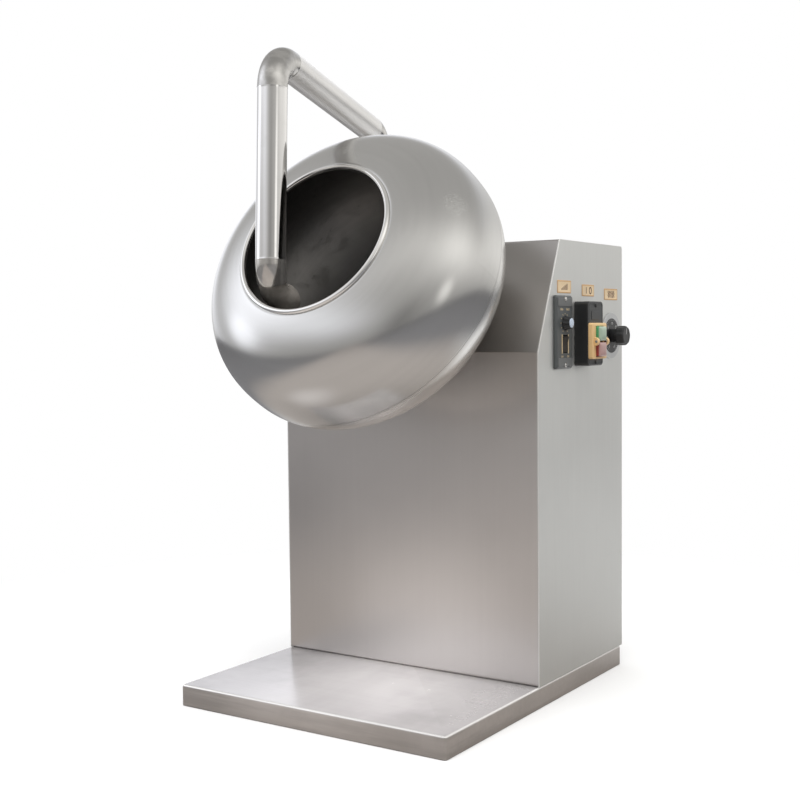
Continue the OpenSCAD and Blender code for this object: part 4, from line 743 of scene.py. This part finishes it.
def lettering(name, words, spot, place, size, angle, material):
    """Flat raised numbers or words on the panel, from Blender's own font."""
    text = bpy.data.curves.new(name, "FONT")
    text.body = words
    text.size = size * MM
    text.align_x, text.align_y = "CENTER", "CENTER"
    text.extrude = 0.05 * MM
    drawn = bpy.data.objects.new(name, text)
    bpy.context.scene.collection.objects.link(drawn)
    bpy.context.view_layer.update()
    shape = bpy.data.meshes.new_from_object(drawn)
    flat = Matrix(((0, 0, 1), (1, 0, 0), (0, 1, 0))).to_4x4()
    shape.transform(Matrix.Translation(spot(*place)) @ flat @ Matrix.Rotation(angle, 4, "Z"))
    bpy.data.objects.remove(drawn)
    shape.materials.clear()
    shape.materials.append(material)
    made = bpy.data.objects.new(name, shape)
    bpy.context.scene.collection.objects.link(made)
    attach(made, "machine")


# The speed unit: a moulded dark plate with chamfered edges and raised pads for its two
# screws, its body in a cut-out of the side sheet.
unit_y, unit_z, knob_up, rocker_up = 53.5, 484.0, 11.8, -15.5
unit = on_panel(unit_y, unit_z)
unit_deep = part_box("speed_unit")[0].x / MM - face_x
verts, faces = panel_stack(unit, [
    (18, 38, 1, unit_deep), (18, 38, 1, 0), (24.25, 48, 3, 0), (24.25, 48, 3, 2.8), (23.6, 47.4, 2.8, 3.4),
    (21.9, 45.7, 2.0, 5.0), (21.4, 45.2, 1.8, 5.0), (7.8, 11.8, 0.3, 5.0, (0, rocker_up)),
    (7.8, 11.8, 0.3, -4.8, (0, rocker_up))])
speed_face = piece("speed_face", verts, faces, "machine", [unit_dark], sharp=25)
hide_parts("speed_unit")
for name, up_to in (("unit_pad_top", 39.2), ("unit_pad_low", -39.2)):
    verts, faces = panel_stack(unit, [(20.6, 5.6, 1.2, 4.9, (0, up_to)), (20.6, 5.6, 1.2, 5.35, (0, up_to)),
                                      (20.0, 5.0, 1.0, 5.8, (0, up_to))])
    piece(name, verts, faces, "machine", [unit_pad], sharp=25)
for name, x in (("rocker_bar_front", -9.2), ("rocker_bar_rear", 9.2)):
    middle = (x, rocker_up)
    verts, faces = panel_stack(unit, [(0.8, 12.4, 0.3, 4.9, middle), (0.8, 12.4, 0.3, 5.5, middle),
                                      (0.6, 12.2, 0.3, 5.7, middle)])
    piece(name, verts, faces, "machine", [cream], sharp=25)
ticks = []
for i in range(11):
    angle = math.radians(-150 + 30 * i)
    ticks.append([(r * math.sin(angle), knob_up + r * math.cos(angle)) for r in (11.3, 12.9)])
verts, faces = strokes(unit, ticks, 0.35, 4.9, 5.25)
piece("speed_ticks", verts, faces, "machine", [cream])
for name, words, x, y, size in (
        ("speed_low", "MIN", -9.5, 29.5, 4.4), ("speed_high", "MAX", 8.5, 29.5, 4.4),
        ("rocker_off", "OFF", -8.0, -32.0, 3.6), ("rocker_on", "ON", 8.5, -32.0, 3.6)):
    lettering(name, words, unit, (x, y, 5.05), size, 0.0, cream)


# The speed knob: a black moulded star knob, narrower at its front, with a pale blue cap. Its stem
# goes into the speed unit.
star_points = 96


def star(radius, depth, flutes):
    """Points round a fluted knob."""
    ring = []
    for i in range(star_points):
        angle = math.tau * i / star_points
        fluted = radius - depth * (0.5 - 0.5 * math.cos(flutes * angle)) ** 1.5
        ring.append((fluted * math.cos(angle), fluted * math.sin(angle)))
    return ring


def knob(spot, rows, flutes, middle=(0, 0)):
    """Fluted rings from rows of radius, flute depth and out."""
    return stack([[spot(middle[0] + x, middle[1] + y, out) for x, y in star(radius, depth, flutes)]
                  for radius, depth, out in rows])


knob_rows = [(3, 0, -2.5), (3, 0, 5.3), (9.2, 0.6, 5.3), (9.7, 1.6, 5.8), (9.7, 2.2, 7.2), (8.4, 1.9, 8.6),
             (7.6, 1.4, 13.4), (7.0, 1.0, 14.3), (6.6, 0.3, 14.5), (6.4, 0, 14.2), (6.2, 0, 14.2),
             (6.0, 0, 14.9), (4.0, 0, 15.2), (0.2, 0, 15.2)]
verts, faces = knob(unit, knob_rows, 8, (0, knob_up))
cap_from = 1 + 10 * star_points
cap_pale = coated("cap_pale", (0.62, 0.72, 0.86), 0.3)
picks = [1 if k > cap_from else 0 for k in range(len(faces))]
speed_turner = piece("speed_turner", verts, faces, "speed_dial", [black, cap_pale],
                     picks=picks, sharp=40)
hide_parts("speed_knob")

# The rocker in the speed unit: one moulded black piece on a pin, its face bent to a shallow vee.
# It is the CAD's own shape.
dress(black, "run_rocker")

# The switch box: a deep moulded black box with a groove round its face and a bare raised
# place above its buttons.
box_y, box_z = 115.5, 481.0
box = on_panel(box_y, box_z)
face_at, well_at = (0, 0.6), (0, -10)
verts, faces = panel_stack(box, [
    (22, 40, 3, 0.1), (24, 43, 5, 0.1, face_at), (24, 43, 5, 18.6, face_at), (23.6, 42.6, 4.7, 19.4, face_at),
    (22.8, 41.8, 4.2, 20.0, face_at), (20.8, 39.8, 3.0, 20.0, face_at), (20.6, 39.6, 3.0, 19.5, face_at),
    (20.0, 39.0, 3.0, 19.5, face_at), (19.8, 38.8, 3.0, 20.0, face_at),
    (12.5, 21.5, 0.8, 20.0, well_at), (12.5, 21.5, 0.8, 17.0, well_at)])
picks = picked(faces, 4)
switch_case = piece("switch_case", verts, faces, "machine", [black, box_face],
                    picks=picks, sharp=25)
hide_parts("switch_box")
verts, faces = panel_stack(box, [(12, 6, 1, 19.9, (-1, 25)), (12, 6, 1, 20.3, (-1, 25)),
                                 (11.6, 5.6, 0.8, 20.6, (-1, 25))])
piece("case_pad", verts, faces, "machine", [box_face], sharp=25)
dress(black, "switch_block")

# The bezel: moulded yellow orange plastic round both buttons, with a hinge lug at each side. Its
# collar sits in the box's opening, and the buttons slide in its well.
bezel = on_panel(box_y, box_z - 10)
verts, faces = panel_stack(bezel, [
    (12.3, 21.3, 1, 11), (12.3, 21.3, 1, 20), (23, 24, 3, 20, (0, 0.8)), (23, 24, 3, 24.8, (0, 0.8)),
    (22.6, 23.6, 2.8, 25.6, (0, 0.8)), (21.8, 22.8, 2.4, 26, (0, 0.8)), (12.0, 21.0, 1.2, 26),
    (11.4, 20.4, 0.9, 25.4), (11.3, 20.3, 0.8, 12), (11.3, 20.3, 0.8, 11)])
# The well goes right through, so the end caps give way to a band between the end rings.
faces = faces[1:-1]
last = len(verts) - ring_points
faces += [((i + 1) % ring_points, i, last + i, last + (i + 1) % ring_points) for i in range(ring_points)]
for side in (-1, 1):
    lug_rings = []
    for across, scale in ((-2.6, 0.9), (-2.1, 1.0), (2.1, 1.0), (2.6, 0.9)):
        arc = [math.pi * i / 16 for i in range(17)]
        ring = [(5.6 * scale * math.cos(angle), 27 + 5.4 * scale * math.sin(angle)) for angle in arc]
        ring = [(5.6 * scale, 25.6)] + ring + [(-5.6 * scale, 25.6)]
        lug_rings.append([bezel(side * 15.3 + across, y, out) for y, out in ring])
    more, more_faces = stack(lug_rings)
    faces += [tuple(v + len(verts) for v in face) for face in more_faces]
    verts += more
bezel_frame = piece("bezel_frame", verts, faces, "machine", [orange], sharp=30)
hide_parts("switch_bezel")
for side, name in ((-1, "lug_pin_front"), (1, "lug_pin_rear")):
    profile = [(0.0, -3.1), (1.6, -3.1), (1.9, -2.8), (1.9, 2.8), (1.6, 3.1), (0.0, 3.1)]
    verts, faces, uvs = revolve(profile, 24, lambda x, y, s: bezel(side * 15.3 + s, x, 29.0 + y))
    piece(name, verts, faces, "machine", [screw_bright], sharp=40)

# The push buttons: coloured blocks, green above and red below, each under a milky, slightly
# crowned cover.
for name, node, body, slot, upward, side_tint, face_tint in (
        ("start_cap", "green_button", "start_button", "green_plastic", 10.5,
         (0.07, 0.33, 0.15), (0.36, 0.47, 0.36)),
        ("stop_cap", "red_button", "stop_button", "red_plastic", -10.5,
         (0.33, 0.045, 0.04), (0.50, 0.30, 0.28))):
    side_plastic = coated(slot + "_side", side_tint, 0.3)
    face_plastic = coated(slot + "_face", face_tint, 0.35, coat=0.3, cloud=0.12)
    middle = (0, upward)
    verts, faces = panel_stack(bezel, [
        (2.9, 2.9, 2.8, 11.5, middle), (2.9, 2.9, 2.8, 14.4, middle), (11, 9.5, 2, 14.4, middle),
        (11, 9.5, 2, 29.6, middle), (10.7, 9.2, 1.9, 30.8, middle), (9.8, 8.3, 1.7, 31.5, middle),
        (7.5, 6.0, 1.5, 32.0, middle), (3.5, 2.5, 1.0, 32.2, middle)])
    picks = picked(faces, 3)
    cap = piece(name, verts, faces, body, [side_plastic, face_plastic], picks=picks, sharp=30)
    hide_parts(node)

# The heater dial: a pale metal ring round a black disc, flat on the side sheet, with a raised
# scale of marks and numbers.
dial = on_panel(209, 478)
ring_grey = steel("dial_metal", (0.60, 0.61, 0.61), 0.40, lines=0.03, metal=0.6)
profile = [(4.0, 0.0), (31.7, 0.0), (32.5, 0.5), (32.5, 1.0), (31.9, 1.5), (24.3, 1.5), (24.1, 2.0),
           (4.0, 2.0), (4.0, 0.0)]
dial_sides, disc_from = 96, 5
verts, faces, uvs = revolve(profile, dial_sides, dial)
picks = []
for k in range(len(profile) - 1):
    picks += [1 if k >= disc_from else 0] * dial_sides
dial_ring = piece("dial_ring", verts, faces, "machine", [ring_grey, black],
                  picks=picks, sharp=30)
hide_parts("dial_plate")
ticks = []
for i in range(31):
    angle = math.radians(-150 + 10 * i)
    ticks.append([(r * math.sin(angle), r * math.cos(angle)) for r in (20.2 if i % 5 == 0 else 21.4, 22.8)])
verts, faces = strokes(dial, ticks, 0.25, 1.9, 2.1)
mark_pale = coated("mark_pale", (0.62, 0.63, 0.62), 0.5)
piece("dial_ticks", verts, faces, "machine", [mark_pale])
for i, number in enumerate((0, 50, 100, 150, 200, 250, 300)):
    angle = math.radians(-150 + 50 * i)
    place = (17.2 * math.sin(angle), 17.2 * math.cos(angle), 2.06)
    lettering("dial_number_%d" % number, str(number), dial, place, 4.6, -angle, mark_pale)

# The heater knob: a black moulded knob with grips on a narrower neck, and a pale pointer line. Its
# stem goes in through the dial plate, with the thermostat behind it.
knob_rows = [(3, 0, -10), (3, 0, 2.3), (9.3, 0, 2.3), (9.5, 0, 2.6), (9.5, 0, 10.8), (12.6, 0.4, 11.3),
             (13.5, 0.8, 12.3), (13.75, 0.9, 18.0), (13.6, 0.9, 22.0), (13.0, 0.7, 23.5), (11.8, 0.3, 24.3),
             (10.6, 0, 24.3), (10.2, 0, 23.9), (0.3, 0, 23.9)]
verts, faces = knob(dial, knob_rows, 8)
heater_turner = piece("heater_turner", verts, faces, "heater_dial", [black], sharp=35)
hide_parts("heater_knob")
verts, faces = panel_stack(dial, [(0.5, 4.2, 0.2, 23.8, (0, 6)), (0.5, 4.2, 0.2, 24.1, (0, 6)),
                                  (0.4, 4.1, 0.2, 24.2, (0, 6))])
piece("knob_pointer", verts, faces, "heater_dial", [mark_pale], sharp=30)


# Screws of the speed unit, the switch box and the collar: zinced or blackened steel, with round
# heads and one slot, screwed through the plates into the sheet.
def screw_head(spot, radius, height, shank, length):
    """A slotted head on its shank; spot takes (across, up, out)."""
    half_slot = radius * 0.17
    round_ring = [(math.cos(math.tau * i / 32), math.sin(math.tau * i / 32)) for i in range(32)]
    low_rows = ((shank, -length), (shank, 0.0), (radius, 0.0), (radius, height * 0.35))
    verts, faces = stack([[spot(r * x, r * y, out) for x, y in round_ring] for r, out in low_rows])
    start_angle = math.asin(half_slot / radius)
    for side in (1, -1):
        rings = []
        for scale, out in ((1.0, 0.35), (0.97, 0.62), (0.85, 0.88), (0.62, 1.0)):
            arc = [start_angle + (math.pi - 2 * start_angle) * i / 16 for i in range(17)]
            ring = [(radius * scale * math.cos(a), half_slot + (radius * math.sin(a) - half_slot) * scale)
                    for a in arc]
            rings.append([spot(x * side, y * side, out * height) for x, y in ring])
        more, more_faces = stack(rings)
        faces += [tuple(v + len(verts) for v in face) for face in more_faces]
        verts += more
    return verts, faces


flange_r, flange_top = 32, 608


def on_collar(turned):
    """Makes a spot function for a screw on the collar's flange, turned round the riser."""
    angle = math.radians(turned)
    middle = Vector((riser_x + flange_r * math.cos(angle), riser_y + flange_r * math.sin(angle), flange_top))
    return lambda x, y, out: (middle + Vector((x, y, out))) * MM


heads, head_faces, head_picks = [], [], []
# Radius and height of the head, radius and length of the shank, and finish (0 bright, 1 black).
collar_screw, unit_screw, box_screw = (4.5, 2.6, 2.5, 9, 0), (3.0, 1.4, 1.5, 6, 0), (2.5, 1.2, 1.7, 12, 1)
screws = [(on_collar(turned), *collar_screw) for turned in (30, 150, 270)]
screws += [(lambda x, y, out: unit(0.9 * x - 0.4 * y, 43 + 0.4 * x + 0.9 * y, 5.7 + out), *unit_screw),
           (lambda x, y, out: unit(0.3 * x + 0.95 * y, -43 - 0.95 * x + 0.3 * y, 5.7 + out), *unit_screw),
           (lambda x, y, out: box(y, 38 - x, 20 + out), *box_screw),
           (lambda x, y, out: box(y, -38 - x, 20 + out), *box_screw)]
for spot, radius, height, shank, length, kind in screws:
    verts, faces = screw_head(spot, radius, height, shank, length)
    head_faces += [tuple(v + len(heads) for v in face) for face in faces]
    head_picks += [kind] * len(faces)
    heads += verts
control_heads = piece("control_heads", heads, head_faces, "machine", [screw_bright, black],
                      picks=head_picks, sharp=40)
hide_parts("control_screws")

# Three label plates above the controls: thin enamelled plates, cream in an orange edge, stuck
# to the side sheet. Each carries a plain sign.
front_plate, middle_plate, rear_plate = on_panel(61, 543.5), on_panel(134, 540), on_panel(209, 536)
for name, plate, half_w, half_h in (
        ("label_front", front_plate, 20, 8.4), ("label_middle", middle_plate, 19, 7.9),
        ("label_rear", rear_plate, 22, 7.9)):
    verts, faces = panel_stack(plate, [
        (half_w, half_h, 1.0, 0.02), (half_w, half_h, 1.0, 0.4), (half_w - 0.3, half_h - 0.3, 0.9, 0.55),
        (half_w - 1.5, half_h - 1.5, 0.4, 0.55), (half_w - 1.7, half_h - 1.7, 0.3, 0.5)])
    picks = picked(faces, 4)
    piece(name, verts, faces, "machine", [label_edge, label_cream], picks=picks, sharp=25)

# Plain signs stand where the words were: rising bars for the speed, I and O for the switch, and
# waves for the heat.
rising = [[(3.2 * i - 8, -4.2), (3.2 * i - 8, -2.4 + 1.3 * i)] for i in range(6)]
sign_circle = [(7 + 3.4 * math.cos(math.tau * i / 24), 4.2 * math.sin(math.tau * i / 24)) for i in range(25)]
waves = [[(4.6 * k - 9 + 1.3 * math.sin(1.3 * i), 0.9 * i - 4.5) for i in range(11)] for k in range(5)]
for name, plate, paths in (("sign_speed", front_plate, rising), ("sign_heat", rear_plate, waves),
                           ("sign_switch", middle_plate, [[(-6, -4.2), (-6, 4.2)], sign_circle])):
    verts, faces = strokes(plate, paths, 0.85, 0.45, 0.62)
    piece(name, verts, faces, "machine", [label_mark], sharp=30)

# Machined, zinced, cast and painted pieces of the drive, the heater and the blower, most of them
# inside the cabinet. They are the CAD's own shapes, each with its finish.
machined = steel("machined", (0.60, 0.60, 0.59), 0.28, lines=0.12, depth=0.00001)
zinc = steel("zinc", (0.62, 0.62, 0.60), 0.30, lines=0.15, depth=0.00001, cloud=0.1)
gear_steel = steel("gear_steel", (0.50, 0.49, 0.46), 0.32, lines=0.15, cloud=0.1)
galvanised = steel("galvanised", (0.58, 0.58, 0.57), 0.42, lines=0.25, cloud=0.12)
burnt = steel("burnt_sheath", (0.26, 0.23, 0.20), 0.45, cloud=0.3)
cast = coated("cast_housing", (0.42, 0.43, 0.44), 0.5, grain=900.0, depth=0.0001, metal=0.8)
primer = coated("frame_primer", (0.24, 0.25, 0.26), 0.5)
motor_paint = coated("motor_paint", (0.10, 0.12, 0.14), 0.42)
ceramic = coated("thermostat_ceramic", (0.72, 0.69, 0.62), 0.6)
dress(machined, "bearing_outer_race", "bearing_inner_race", "pan_shaft", "pan_hub", "shaft_coupling",
      "motor_rotor", "output_gear")
dress(zinc, "back_screws", "frame_bolts", "hub_bolts")
dress(gear_steel, "first_gear", "second_gear", "gear_partition")
dress(cast, "bearing_housing", "gearhead_case")
dress(primer, "base_stiffeners", "shaft_ring", "drive_cheek_left", "drive_cheek_right", "bearing_plate",
      "gearbox_plate", "blower_foot")
dress(motor_paint, "motor_body", "blower_motor")
dress(galvanised, "blower_scroll", "blower_inlet_plate", "heater_duct", "outlet_sleeve", "blower_wheel")
dress(burnt, "heater_element")
dress(ceramic, "thermostat")
dress(black, "cable_gland", "clamp_screw")
